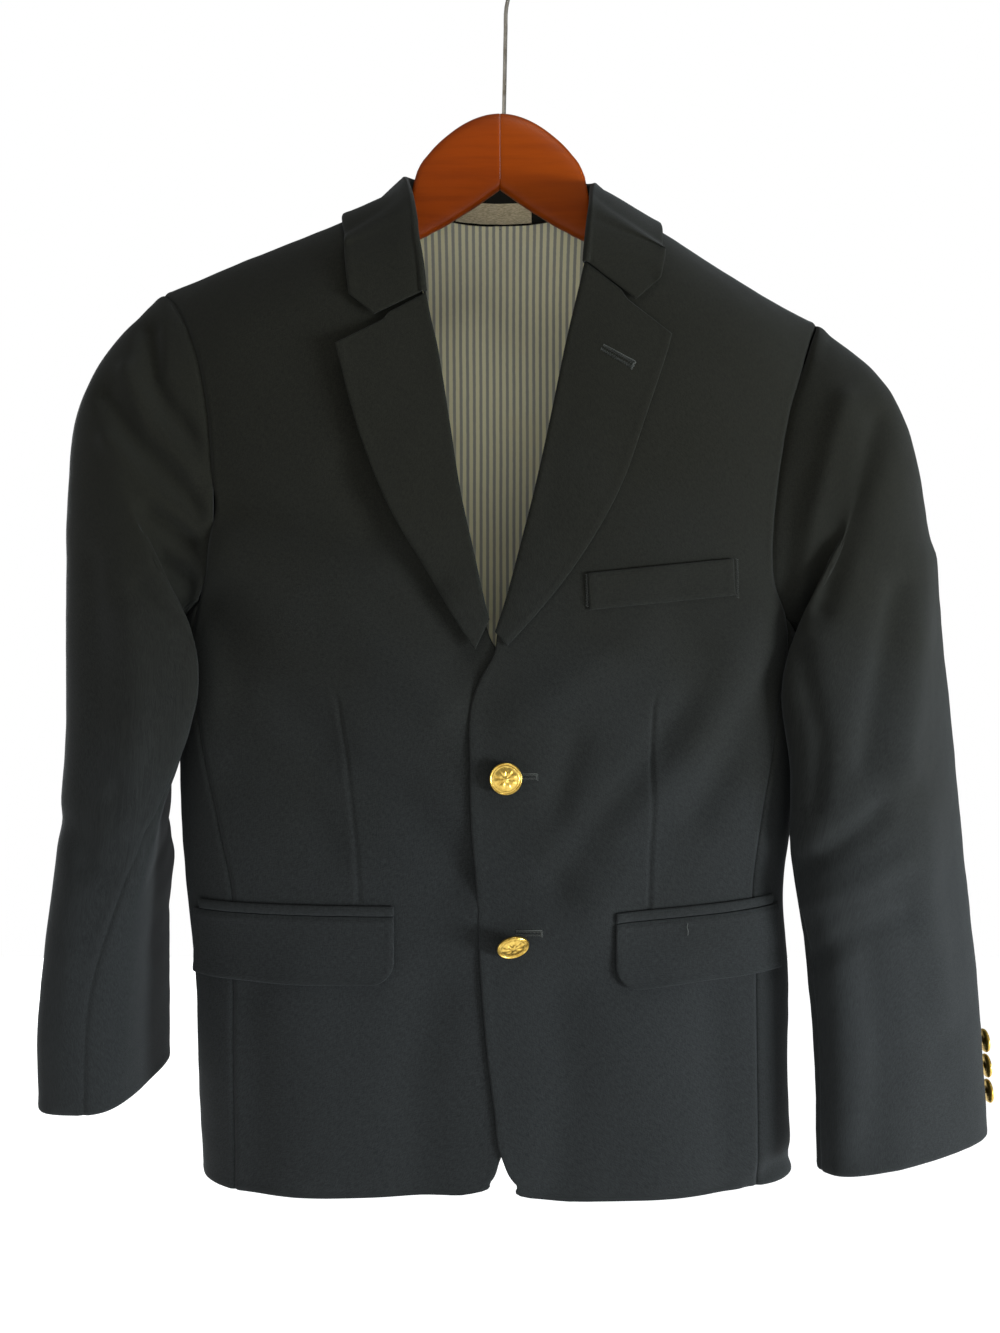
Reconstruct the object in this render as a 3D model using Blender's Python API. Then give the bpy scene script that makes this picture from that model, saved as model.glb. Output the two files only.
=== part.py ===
# A boy's two-button blazer on a wooden hanger. Metres, +Z up, and the front faces -Y.
# The origin is the inside top of the hook, where a rail would carry it.
# Left and right are the wearer's: left is +X, and the left front lies on top.
# Tables and sizes are in millimetres. Their heights count from chest level, below the armholes.

import math

import bmesh
import bpy
import numpy as np

MM = 0.001
CHEST_LEVEL = -450.0  # chest level below the inside top of the hook
CLOTH = 1.5  # outer cloth with its interlining
BACK_HEM = -299.0  # the middle of the back's hem
SEAM = 0.2  # what each piece stays back from a seam line
LEFT, RIGHT = 1, -1

ROUNDNESS = 2.8  # exponent of the body's sections, 2 for an ellipse
SHOULDER_ROLL = 65.0  # how far below the shoulder line the body reaches its full depth
OVERLAP = 2.3  # how far the left front stands out where it laps the right one


def table(columns, *rows):
    """Rows of numbers as one array for each named column."""
    return dict(zip(columns.split(), np.array(rows, float).T))


# The body's sections, from the hem up
BODY = table(
    "height right_half left_half front_depth back_depth",
    (-310, 176, 175, 55, 58),
    (-240, 180, 172, 56, 58),
    (-180, 182, 172, 57, 57),
    (-130, 187, 169, 58, 56),
    (-85, 190, 174, 58, 56),
    (30, 192, 180, 58, 55),
    (150, 199, 187, 55, 52),
    (230, 209, 197, 52, 50),
    (310, 212, 200, 50, 50),
)

# The line over both shoulders, from the right shoulder point to the left one
SHOULDER_LINE = table(
    "across height",
    (-212, 221),
    (-203, 224.5),
    (-176, 234.5),
    (-130, 252),
    (-92, 267),
    (-62, 280),
    (-30, 293),
    (0, 299),
    (30, 293),
    (62, 280),
    (91, 263),
    (130, 239),
    (172, 215.5),
    (191, 206.5),
    (202, 201),
)

# How far out each armhole seam runs, in front and behind
ARMHOLE = {
    RIGHT: table(
        "height front back",
        (26, 191.5, 191.5),
        (30, 184, 186),
        (38, 175, 180),
        (55, 167, 174),
        (80, 164.4, 171),
        (104, 164.4, 170),
        (129, 165.8, 171),
        (155, 168.7, 174),
        (180, 174.7, 179),
        (199, 182.7, 186),
        (213, 191.5, 193),
        (224.5, 203, 203),
    ),
    LEFT: table(
        "height front back",
        (16, 179, 179),
        (20, 172, 174),
        (28, 164, 169),
        (45, 157.5, 164),
        (68, 156, 161),
        (104, 159, 161),
        (135, 164.4, 164),
        (150, 168, 168),
        (169, 175, 174),
        (194, 184.6, 184.6),
        (206.5, 191, 191),
    ),
}

# How far out the seams of the side panels run, in front and behind
SIDE_SEAMS = {
    RIGHT: table(
        "height front back",
        (-299, 152, 140),
        (-175, 152, 141),
        (-130, 151.5, 142),
        (-90, 160, 147),
        (-40, 172, 158),
        (38, 175, 180),
    ),
    LEFT: table(
        "height front back",
        (-297, 148, 138),
        (-175, 146, 138),
        (-130, 144, 138),
        (-90, 149, 144),
        (-40, 158, 154),
        (28, 164, 169),
    ),
}

# The free edge of each front, from the hem up to the neck point: how far it lies from the middle
FRONT_EDGE = {
    RIGHT: table(
        "height across",
        (-294, 24),
        (-292, 12),
        (-286, 5),
        (-274, 0),
        (-255, -8),
        (-220, -18),
        (-150, -24),
        (-60, -24),
        (-20, -17),
        (0, -5),
        (14, 4.5),
        (25, 8.4),
        (37, 11.6),
        (67, 17.3),
        (98, 23.7),
        (138, 30.2),
        (177, 36.4),
        (207, 42.6),
        (222, 46),
        (245, 51.5),
        (262, 57),
        (280, 62.5),
    ),
    LEFT: table(
        "height across",
        (-297, 35.5),
        (-295, 19.4),
        (-287, 9),
        (-272, 1),
        (-244, -3.3),
        (-218, -6.7),
        (-174, -10.5),
        (-117, -13.3),
        (-93, -15.5),
        (-57, -16.6),
        (-14, -13.9),
        (-6, -10.5),
        (6, -3.5),
        (21, -1.1),
        (37, 5.2),
        (67, 13),
        (98, 20.7),
        (138, 29.7),
        (177, 37.2),
        (206, 43.9),
        (224, 48),
        (245, 52.5),
        (262, 57.5),
        (280, 62.5),
    ),
}

# The neck seam behind: its height, across from the middle of the back
BACK_NECK = table(
    "across height",
    (-1, 280),
    (20, 280),
    (40, 281),
    (55, 281.5),
    (62.5, 280),
)

# The roll line that each lapel turns over on, and the lapel's outer edge
LAPEL = {
    RIGHT: table(
        "share roll_across roll_height edge_across edge_height",
        (0, 40.7, 205.9, 90.6, 178.5),
        (0.05, 39, 197, 88.4, 170),
        (0.2, 34.5, 177, 79.5, 136.5),
        (0.36, 28.3, 138.5, 68.4, 104.8),
        (0.52, 22, 98, 56.2, 79.2),
        (0.68, 15.2, 67, 40.6, 53.1),
        (0.84, 9.3, 40, 26.7, 29.2),
        (1, 5.8, 26, 13.8, 9),
    ),
    LEFT: table(
        "share roll_across roll_height edge_across edge_height",
        (0, 46.6, 223.6, 95.6, 185.3),
        (0.05, 44.5, 214, 93.4, 177),
        (0.2, 36.5, 180, 80.5, 138),
        (0.36, 28, 138.5, 69, 104.8),
        (0.52, 19, 98, 56.2, 79.2),
        (0.68, 11.1, 67, 39.5, 53.1),
        (0.84, 3.4, 38, 22, 31),
        (1, -2.8, 19, 4, 11),
    ),
}

# The collar from the middle of the back round to a gorge seam: its fold, then its outer edge
COLLAR = {
    side: table(
        "share fold_across fold_depth fold_height edge_across edge_depth edge_height",
        (0, 0, 41, 314, 0, 46, 272),
        (0.15, 20, 40, 312.5, 25, 45, 271),
        (0.3, 38, 31, 308, 50, 41, 268),
        *side_rows,
    )
    for side, side_rows in {
        RIGHT: (
            (0.42, 51, 15, 301, 76, 22, 268),
            (0.5, 55.5, 2, 296, 89, 0, 266),
            (0.56, 53, -18, 284, 89.5, -22, 256),
            (0.62, 49.5, -36, 268.5, 88, -42, 244.5),
            (0.76, 45.3, -50, 244.5, 87, -50, 232.5),
            (0.88, 42.2, -56, 224, 85.5, -54, 218.5),
            (1, 40.7, -57, 205.5, 83.7, -55, 205.5),
        ),
        LEFT: (
            (0.42, 50.5, 15, 299, 76, 22, 265),
            (0.5, 55, 2, 292, 89, 0, 262),
            (0.56, 53, -18, 281, 91, -22, 250),
            (0.62, 50.8, -37, 266, 92, -42, 238.5),
            (0.76, 48.1, -50, 247, 93.5, -46, 235),
            (0.88, 46.6, -55, 232.5, 91.7, -50, 225.5),
            (1, 46, -56, 223, 89.6, -53, 216),
        ),
    }.items()
}
NOTCH_DIP = {RIGHT: 12.0, LEFT: 16.0}  # how far the notch lies below the collar's end line
NOTCH_SHARE = 0.65

# Sections of the sleeves from the armhole down: middle, half width, half depth, turn inward in
# front in degrees, how much higher the outer side is, and how far the front end bends inward
SLEEVE = {
    RIGHT: table(
        "across depth height wide deep turn rise bend",
        (196.5, 0, 125, 6.5, 45, 0, 99, 0),
        (212, 0, 106, 16, 47, 5, 91, 3),
        (222, 0, 89, 24.5, 49, 10, 83, 8),
        (227, 0, 67, 28.5, 51, 14, 69, 18),
        (229.5, 0, 39, 30, 53, 15, 54, 34),
        (230, 0, 6, 30, 54, 15, 37, 38),
        (230, -1, -35, 29, 54, 12, 22, 30),
        (231, -2, -82, 28.5, 54.5, 8, 12, 17),
        (233, -2, -128, 28, 55, 4, 7, 7),
        (236, -1, -186, 27.5, 55.5, -1, 3, 0),
        (237, 0, -249, 26.5, 56, -3, 0, 0),
    ),
    LEFT: table(
        "across depth height wide deep turn rise bend",
        (185, 0, 111, 6, 45, 0, 95, 0),
        (203, 0, 96, 15, 47, 8, 88, 3),
        (215, 0, 79, 24, 50, 16, 80, 8),
        (221, 0, 56, 29.5, 53, 22, 66, 18),
        (225, 0, 28, 32, 56, 28, 49, 28),
        (228, -2, -6, 32.5, 59, 36, 32, 28),
        (230, -5, -50, 31, 62, 43, 17, 18),
        (231, -8, -98, 29, 64, 49, 9, 14),
        (233, -12, -152, 26.5, 65, 54, 5, 4),
        (236, -15, -212, 24, 65, 58, 3, 0),
        (238.5, -18, -284, 22.5, 64, 61, 2, 0),
    ),
}
SLEEVE_SHARPNESS = {RIGHT: (0.86, 0.55), LEFT: (0.86, 0.8)}  # 1 for an ellipse, at both ends
SLEEVE_CLEAR = 3.5  # how far the sleeves hang from the body
SLEEVE_HEAD = 0.3  # share of the sleeve over which it leaves the armhole's own shape
FRONT_SLEEVE_SEAM = (152, 98)  # degrees round from the outer side, at the armhole and the cuff
BACK_SLEEVE_SEAM = (292, 270)

# The largest folds of the fronts: two ends, half width, and rise
FOLDS = {
    RIGHT: (
        (-150, 88, -78, 70, 13, -2.5),
        (-154, 60, -36, -20, 17, 3),
        (-160, 34, -100, -44, 14, -3),
        (-150, -36, -34, -118, 22, -2),
    ),
    LEFT: (
        (31, -76, 41, -42, 10, -2.5),
        (36, -110, 78, -58, 18, 2.5),
        (60, -112, 120, -60, 14, -2),
        (100, 28, 140, -50, 16, -2),
    ),
}

POCKET = {
    RIGHT: {"inner": 58.5, "outer": 176, "inner_top": -132.5, "outer_top": -133, "drop": 43.5},
    LEFT: {"inner": 63.8, "outer": 160, "inner_top": -136, "outer_top": -130.5, "drop": 42},
}
POCKET_WELT_HEIGHT = 5.5
FLAP_CORNER = 13.0

BREAST_WELT = {"inner": 48, "outer": 130.5, "inner_top": 51.5, "outer_top": 60.5, "height": 20.5}

FRONT_BUTTON = {"radius": 9.0, "height": 4.6, "shank": 2.6}
CUFF_BUTTON = {"radius": 7.0, "height": 3.8, "shank": 1.6}
FRONT_BUTTONS = table(
    "across height droop lean",
    (3.2, -61, 4, 0),
    (6.2, -150, 40, 12),
)
BUTTON_HANG = 4.9  # how far a drooping button's shank comes away from the cloth
CUFF_BUTTON_PLACES = {RIGHT: (-186, -201, -216), LEFT: (-230, -245, -260)}

# The hanger: its upper edge as far as the neck, then its height at places along an arm
ARM_TOP = table(
    "across height",
    (0, 334.5),
    (8, 333.5),
    (17, 330.5),
    (30, 322.5),
    (43, 310),
    (49, 301.5),
    (51.5, 295),
    (53.2, 286),
    (55, 279.5),
    (58, 277.5),
    (62, 276.5),
)
ARM_HEIGHT = table(
    "across height",
    (0, 47),
    (25, 42),
    (45, 37),
    (55, 27),
    (62, 25),
    (100, 25),
    (150, 21),
    (172, 15),
)
ARM_LENGTH = {RIGHT: 172.0, LEFT: 164.0}
ARM_THICKNESS = 11.0
WIRE = 2.4
WIRE_AT = 2.2  # how far left of the joint the wire enters the wood
HOOK_INSIDE = 19.0

WOOL = (0.017, 0.019, 0.022)
GOLD = (0.62, 0.40, 0.11)
WOOD = (0.36, 0.10, 0.012)
STEEL = (0.45, 0.45, 0.44)
LINING = (0.62, 0.62, 0.55)
LABEL = (0.78, 0.77, 0.72)


def smooth(at, known, values):
    """A smooth curve through a table's values, level beyond its ends."""
    slopes = np.gradient(values, known)
    at = np.clip(at, known[0], known[-1])
    row = np.clip(np.searchsorted(known, at) - 1, 0, len(known) - 2)
    step = known[row + 1] - known[row]
    s = (at - known[row]) / step
    rise = s * s * (3 - 2 * s)
    value = values[row] + (values[row + 1] - values[row]) * rise
    return value + step * s * (1 - s) * (slopes[row] * (1 - s) - slopes[row + 1] * s)


def fade(at, start, end):
    s = np.clip((at - start) / (end - start), 0, 1)
    return s * s * (3 - 2 * s)


def unit(vectors):
    return vectors / np.linalg.norm(vectors, axis=-1, keepdims=True)


def points(x, y, z):
    return np.stack(np.broadcast_arrays(x, y, z), axis=-1).astype(float)


def shoulder_height(x):
    return smooth(x, SHOULDER_LINE["across"], SHOULDER_LINE["height"])


def half_width(x, z):
    right = smooth(z, BODY["height"], BODY["right_half"])
    left = smooth(z, BODY["height"], BODY["left_half"])
    return np.where(x < 0, right, left)


def depth(z, face):
    """The body's half depth at a height, in front (face -1) or behind (face 1)."""
    front = smooth(z, BODY["height"], BODY["front_depth"])
    back = smooth(z, BODY["height"], BODY["back_depth"])
    return np.where(face < 0, front, back)


def fold(x, z):
    """How far the folds push the front outward."""
    total = np.zeros(np.broadcast(x, z).shape)
    for rows in FOLDS.values():
        for x1, z1, x2, z2, width, rise in rows:
            length = math.hypot(x2 - x1, z2 - z1)
            along = ((x - x1) * (x2 - x1) + (z - z1) * (z2 - z1)) / length**2
            along = np.clip(along, 0, 1)
            away = np.hypot(x - x1 - along * (x2 - x1), z - z1 - along * (z2 - z1))
            total = total + rise * np.exp(-((away / width) ** 2))
    return total * fade(1 - np.abs(x) / half_width(x, z), 0.02, 0.2)


def body_side(x, y, z):
    """Zero on the body's surface and more outside it."""
    face = np.where(y < 0, -1, 1)
    outward = np.where(y < 0, fold(x, z), 0.0)
    thick = (np.abs(y) - outward) / depth(z, face)
    rest = 1 - (np.abs(x) / half_width(x, z)) ** ROUNDNESS
    across = np.sign(rest) * np.abs(rest) ** (2 / ROUNDNESS)
    below = np.maximum(0, 1 - (shoulder_height(x) - z) / SHOULDER_ROLL)
    return thick * np.abs(thick) - (1 - below**2) * across


def outward(place, step=0.1):
    """The way out of the body's surface at each place, and how steeply it is left."""
    x, y, z = np.moveaxis(place, -1, 0)
    slope = points(
        body_side(x + step, y, z) - body_side(x - step, y, z),
        body_side(x, y + step, z) - body_side(x, y - step, z),
        body_side(x, y, z + step) - body_side(x, y, z - step),
    )
    steepness = np.linalg.norm(slope, axis=-1)
    return slope / steepness[..., None], steepness / (2 * step)


def on_body(x, z, face):
    """Points of the body's surface, in front (face -1) or behind (face 1)."""
    x, z = np.broadcast_arrays(np.asarray(x, float), np.asarray(z, float))
    rest = np.clip(1 - (np.abs(x) / half_width(x, z)) ** ROUNDNESS, 0, 1)
    below = np.clip(1 - (shoulder_height(x) - z) / SHOULDER_ROLL, 0, 1)
    deep = depth(z, np.full(x.shape, face)) * rest ** (1 / ROUNDNESS)
    deep = deep * np.sqrt(1 - below**2)
    if face < 0:
        deep = deep + fold(x, z)
    return points(x, face * deep, z)


def on_flank(side, share, z):
    """Points round the side: share runs from 1 at the full depth in front to -1 behind."""
    face = np.where(share > 0, -1, 1)
    half = half_width(np.full(np.shape(z), float(side)), z)
    x = side * half * (1 - np.abs(share) ** ROUNDNESS) ** (1 / ROUNDNESS)
    return points(x, -share * depth(z, face), z)


def lapped(place):
    """How far the left front stands out over the right one."""
    x, z = place[..., 0], place[..., 2]
    return OVERLAP * (1 - fade(x, 38, 85)) * (1 - fade(z, 28, 70))


def laid(place, lift, side=RIGHT):
    """Points moved out from the body, and over the lap on the left front."""
    if side == LEFT:
        lift = lift + lapped(place)
    return place + outward(place)[0] * np.asarray(lift)[..., None]


def lifted(place, least):
    """Points moved out where they are nearer to the body than the least distance."""
    way, steepness = outward(place)
    away = body_side(*np.moveaxis(place, -1, 0)) / steepness
    short = np.where(np.asarray(least) > 0, np.maximum(0, least - away), 0)
    return place + way * short[..., None]


def material(name, colour, roughness, metallic=0.0):
    made = bpy.data.materials.new(name)
    made.use_nodes = True
    shader = made.node_tree.nodes["Principled BSDF"]
    shader.inputs["Base Color"].default_value = (*colour, 1)
    shader.inputs["Roughness"].default_value = roughness
    shader.inputs["Metallic"].default_value = metallic
    made.diffuse_color = (*colour, 1)
    return made


def add(name, places, faces, look):
    """An object from points in millimetres above chest level."""
    shape = bmesh.new()
    corners = [shape.verts.new((x * MM, y * MM, (z + CHEST_LEVEL) * MM)) for x, y, z in places]
    for face in faces:
        shape.faces.new([corners[i] for i in face])
    bmesh.ops.recalc_face_normals(shape, faces=shape.faces)
    mesh = bpy.data.meshes.new(name)
    shape.to_mesh(mesh)
    shape.free()
    mesh.shade_smooth()
    mesh.set_sharp_from_angle(angle=math.radians(40))
    mesh.materials.append(look)
    made = bpy.data.objects.new(name, mesh)
    bpy.context.collection.objects.link(made)
    return made


def wall(name, outer, inner, look):
    """A closed wall between two grids of points."""
    rows, columns = outer.shape[:2]
    places = np.concatenate([outer.reshape(-1, 3), inner.reshape(-1, 3)])
    back = rows * columns

    def index(row, column):
        return row * columns + column

    faces = []
    for row in range(rows - 1):
        for column in range(columns - 1):
            a, b = index(row, column), index(row, column + 1)
            c, d = index(row + 1, column + 1), index(row + 1, column)
            faces.append((a, b, c, d))
            faces.append((back + d, back + c, back + b, back + a))
    border = [index(0, column) for column in range(columns)]
    border += [index(row, columns - 1) for row in range(1, rows)]
    border += [index(rows - 1, column) for column in range(columns - 2, -1, -1)]
    border += [index(row, 0) for row in range(rows - 2, 0, -1)]
    for here, there in zip(border, border[1:] + border[:1]):
        faces.append((there, here, back + here, back + there))
    return add(name, places, faces, look)


def rings(name, sections, look):
    """A closed body through sections, each with the same number of points."""
    count, around = sections.shape[:2]
    faces = []
    for row in range(count - 1):
        for k in range(around):
            a, b = row * around + k, row * around + (k + 1) % around
            faces.append((a, b, b + around, a + around))
    faces.append(tuple(range(around)))
    faces.append(tuple(range((count - 1) * around, count * around)))
    return add(name, sections.reshape(-1, 3), faces, look)


def turned(name, profile, steps, place, axis, look):
    """A body of rotation: profile pairs are radius and height along the axis."""
    axis = unit(np.array(axis, float))
    sideways = unit(np.cross(axis, (0.0, 0.3, 1.0)))
    upward = np.cross(sideways, axis)
    angles = np.linspace(0, 2 * math.pi, steps, endpoint=False)
    round_way = np.outer(np.cos(angles), sideways) + np.outer(np.sin(angles), upward)
    sections = [place + axis * height + round_way * radius for radius, height in profile]
    return rings(name, np.array(sections), look)


ROLL_SHARES = np.array((0.003, 0.16, 0.32, 0.48, 0.67, 0.86, 1))
CHEST_SHARES = np.array((0.25, 0.5, 0.75, 1))
WAIST_SHARES = np.array((0.1, 0.21, 0.32, 0.43, 0.54, 0.65, 0.76, 0.86, 0.93, 0.965, 0.985, 1))


def roll_drop(start, share):
    """How far below the shoulder line a row lies, from a start angle round its roll."""
    return SHOULDER_ROLL * (1 - np.cos(start + (math.pi / 2 - start) * share))


def edge_rows(edge, side, middle, start=0.0):
    """Where a panel's rows meet an edge that is given from the hem up."""
    across, height = edge
    dense = np.linspace(height[-1], height[0], 800)
    below = shoulder_height(side * smooth(dense, height, across)) - dense
    top = np.interp(roll_drop(start, ROLL_SHARES), np.maximum.accumulate(below), dense)
    chest = top[-1] + (middle - top[-1]) * CHEST_SHARES
    waist = middle + (height[0] - middle) * WAIST_SHARES
    heights = np.concatenate([top, chest, waist])
    return smooth(heights, height, across), heights


def seam_edge(side, column):
    """The side panel's seam and then the armhole, as one edge from the hem up."""
    low, high = SIDE_SEAMS[side], ARMHOLE[side]
    upper = high["height"] > low["height"][-1]
    across = np.concatenate([low[column], high[column][upper]])
    return across, np.concatenate([low["height"], high["height"][upper]])


def outer_rows(side, column):
    return edge_rows(seam_edge(side, column), side, SIDE_SEAMS[side]["height"][-1])


def panel_places(side, inner, outer, shares, starts):
    """Places (x, z) of a front or a back between its inner and outer edges."""
    x = side * (inner[0][:, None] + (outer[0] - inner[0])[:, None] * shares)
    rolled = len(ROLL_SHARES)
    z = np.empty(x.shape)
    z[:rolled] = shoulder_height(x[:rolled]) - roll_drop(starts, ROLL_SHARES[:, None])
    low = []
    for edge in (inner, outer):
        heights = edge[1]
        low.append((heights[rolled:] - heights[rolled - 1]) / (heights[-1] - heights[rolled - 1]))
    down = low[0][:, None] + (low[1] - low[0])[:, None] * shares
    hem = inner[1][-1] + (outer[1][-1] - inner[1][-1]) * shares
    z[rolled:] = z[rolled - 1] + (hem - z[rolled - 1]) * down
    return x, z


def front_places(side, columns=13):
    edge = FRONT_EDGE[side]
    inner = edge_rows((edge["across"] + SEAM, edge["height"]), side, 45.0)
    across, height = outer_rows(side, "front")
    shares = np.linspace(0, 1, columns)
    return panel_places(side, inner, (across - SEAM, height), shares, np.zeros(columns))


BACK_COLUMNS = (0, 0.1, 0.2, 0.308, 0.42, 0.54, 0.66, 0.78, 0.89, 1)


def back_places(side):
    """The back's top edge is the neck seam, and then the shoulder seam."""
    shares = np.array(BACK_COLUMNS)
    across, height = outer_rows(side, "back")
    top = side * shares * across[0]
    neck = smooth(np.abs(top), BACK_NECK["across"], BACK_NECK["height"])
    below = np.where(np.abs(top) < BACK_NECK["across"][-1], shoulder_height(top) - neck, 0)
    starts = np.arccos(1 - np.maximum(below, 0) / SHOULDER_ROLL)
    levels = np.array((BACK_HEM, BACK_NECK["height"][0]))
    inner = edge_rows((np.full(2, SEAM), levels), side, 45.0, starts[0])
    return panel_places(side, inner, (across - SEAM, height), shares, starts)


def flank_share(side, across, z):
    """How far round the side a seam lies, 0 at the very side."""
    rest = 1 - (across / half_width(np.full(np.shape(z), float(side)), z)) ** ROUNDNESS
    return np.clip(rest, 0, 1) ** (1 / ROUNDNESS)


def flank_places(side, columns=7):
    """Shares and heights of a side panel, from the armhole's underside to the hem."""
    shares = np.linspace(0, 1, columns)
    rows = slice(len(ROLL_SHARES) + len(CHEST_SHARES) - 1, None)
    seams = []
    for column in ("front", "back"):
        across, height = outer_rows(side, column)
        seams.append((flank_share(side, across[rows], height[rows]), height[rows]))
    (ahead, heights), (behind, _) = seams
    turn = ahead[:, None] + (-behind - ahead)[:, None] * shares
    armhole = ARMHOLE[side]
    low = armhole["height"][:4]
    top = np.empty(columns)
    for column, way in (("front", 1), ("back", -1)):
        known = flank_share(side, armhole[column][:4], low)
        use = turn[0] * way >= 0
        top[use] = np.interp(np.abs(turn[0][use]), known, low)
    down = (heights - heights[0]) / (heights[-1] - heights[0])
    z = top + (heights[-1] - top) * down[:, None]
    return turn, z


def panel(name, place, look, side=RIGHT, lift=0.0, thickness=CLOTH):
    shape = place.shape[:2]
    outer = laid(place, np.full(shape, lift), side)
    inner = laid(place, np.full(shape, lift - thickness), side)
    return wall(name, outer, inner, look)


def side_name(side, rest):
    return ("left_" if side == LEFT else "right_") + rest


FLANK_SEAM = 2 * SEAM / 55  # the gap at a side panel's seams as a share of the body's depth


def body(look):
    for side in (RIGHT, LEFT):
        x, z = front_places(side)
        panel(side_name(side, "front"), on_body(x, z, -1), look, side)
        x, z = back_places(side)
        panel(side_name(side, "back"), on_body(x, z, 1), look)
        turn, z = flank_places(side)
        turn[:, 0] -= FLANK_SEAM
        turn[:, -1] += FLANK_SEAM
        z[0] -= 5 * SEAM
        panel(side_name(side, "side_panel"), on_flank(side, turn, z), look)


def armhole_loop(side):
    """Places on the body round an armhole, from the shoulder over the front, and their angles."""
    rows = len(ROLL_SHARES) + len(CHEST_SHARES)
    seams = {}
    for column, face in (("front", -1), ("back", 1)):
        across, height = outer_rows(side, column)
        seams[column] = on_body(side * across[:rows], height[:rows], face)
    turn, z = flank_places(side)
    under = on_flank(side, turn[0], z[0])
    shoulder = (seams["front"][:1] + seams["back"][:1]) / 2
    parts = [shoulder, seams["front"][1:], under[1:-1], seams["back"][:0:-1], shoulder]
    places = np.concatenate(parts)
    heights = places[:, 2]
    middle, reach = (heights.max() + heights.min()) / 2, np.ptp(heights) / 2
    angles = np.arccos(np.clip((heights - middle) / reach, -1, 1))
    lowest = int(np.argmin(heights))
    angles[lowest + 1 :] = 2 * math.pi - angles[lowest + 1 :]
    return places, angles


def sleeve_seams(side):
    """The columns of the armhole loop where the sleeve's two seams start."""
    angles = np.degrees(armhole_loop(side)[1])
    starts = (FRONT_SLEEVE_SEAM[0], BACK_SLEEVE_SEAM[0])
    return [int(np.argmin(np.abs(angles - start))) for start in starts]


def sleeve_angles(side, along):
    """Angles round the sleeve for each column of the armhole loop, seams straight to the cuff."""
    start = armhole_loop(side)[1]
    ahead, behind = sleeve_seams(side)
    last = len(start) - 1
    knots = (0, ahead, behind, last)
    values = (BACK_SLEEVE_SEAM[1] - 270.0, FRONT_SLEEVE_SEAM[1], BACK_SLEEVE_SEAM[1], 360)
    even = np.radians(np.interp(np.arange(last + 1), knots, values))
    return start + (even - start) * fade(along, 0.25, 0.9)[..., None]


def sleeve_place(side, angles, along, start):
    """Points of a sleeve: angles and along are grids, start the places at the armhole."""
    rows = SLEEVE[side]
    known = np.linspace(0, 1, len(rows["wide"]))
    size = {name: smooth(along, known, values) for name, values in rows.items()}
    turn = np.radians(size["turn"])
    sharp = SLEEVE_SHARPNESS[side][0] + np.subtract(*SLEEVE_SHARPNESS[side][::-1]) * along
    ahead = np.sign(np.sin(angles)) * np.abs(np.sin(angles)) ** sharp
    out = np.sign(np.cos(angles)) * np.abs(np.cos(angles)) ** sharp
    x = size["across"] + size["wide"] * np.cos(turn) * out - size["deep"] * np.sin(turn) * ahead
    x = x - size["bend"] * np.maximum(0, ahead) ** 3
    y = size["depth"] - size["wide"] * np.sin(turn) * out - size["deep"] * np.cos(turn) * ahead
    z = size["height"] + size["rise"] * out
    own = points(side * x, y, z)
    head = (1 - np.clip(along / SLEEVE_HEAD, 0, 1))[..., None] ** 2
    inside = fade(along, 0.03, 0.15) * fade(-np.cos(angles), -0.2, 0.3)
    return lifted(own + (start - own) * head, SLEEVE_CLEAR * inside)


def softened(values):
    """Each value with a share of its neighbours."""
    return np.convolve(np.pad(values, 1, mode="edge"), (0.25, 0.5, 0.25), mode="valid")


SLEEVE_ROWS = (0, 0.07, 0.13, 0.19, 0.26, 0.34, 0.42, 0.5, 0.58, 0.66, 0.74, 0.82, 0.91, 1)


def sleeve_grid(side):
    """Outer and inner points of a whole sleeve, rows down and columns round it."""
    start, _ = armhole_loop(side)
    start = start + np.array((side * 2 * SEAM, 0, 0))
    rows = np.array(SLEEVE_ROWS)
    along = np.repeat(rows[:, None], len(start), axis=1)
    place = sleeve_place(side, sleeve_angles(side, rows), along, start)
    lower = np.concatenate([place[1:], place[-1:]])
    upper = np.concatenate([place[:1], place[:-1]])
    round_way = np.roll(place[:, :-1], -1, 1) - np.roll(place[:, :-1], 1, 1)
    round_way = np.concatenate([round_way, round_way[:, :1]], axis=1)
    way = unit(np.cross(round_way, lower - upper)) * side
    out = outward(start)[0]
    share = fade(np.sum(way[0] * out, axis=-1), -0.2, 0.6)[:, None]
    way[0] = unit(way[0] * (1 - share) + out * share)
    way = unit(np.apply_along_axis(softened, 1, way))
    return place, place - way * CLOTH


def sleeves(look):
    for side in (RIGHT, LEFT):
        outer, inner = sleeve_grid(side)
        ahead, behind = sleeve_seams(side)
        last = outer.shape[1] - 1
        top = [*range(behind, last), *range(0, ahead + 1)]
        under = [*range(ahead, behind + 1)]
        for rest, columns in (("top_sleeve", top), ("under_sleeve", under)):
            walls = []
            for grid in (outer, inner):
                cut = grid[:, columns].copy()
                cut[:, 0] += unit(cut[:, 1] - cut[:, 0]) * SEAM * 4
                cut[:, -1] += unit(cut[:, -2] - cut[:, -1]) * SEAM * 4
                walls.append(cut)
            wall(side_name(side, rest), *walls, look)


FOLD_OUTSIDE = ((0.0, -1.2), (0.0, 0.4), (0.5, 1.5), (1.8, 2.1))
FOLD_INSIDE = ((1.4, -1.2), (1.4, 0.1), (1.6, 0.5), (2.2, 0.7))
LAPEL_STAND = {RIGHT: 5.0, LEFT: 0.5}  # how far the lapel's edge stands off the front
LAPEL_SHARES = (0.12, 0.3, 0.5, 0.7, 0.86, 1.0)


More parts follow.
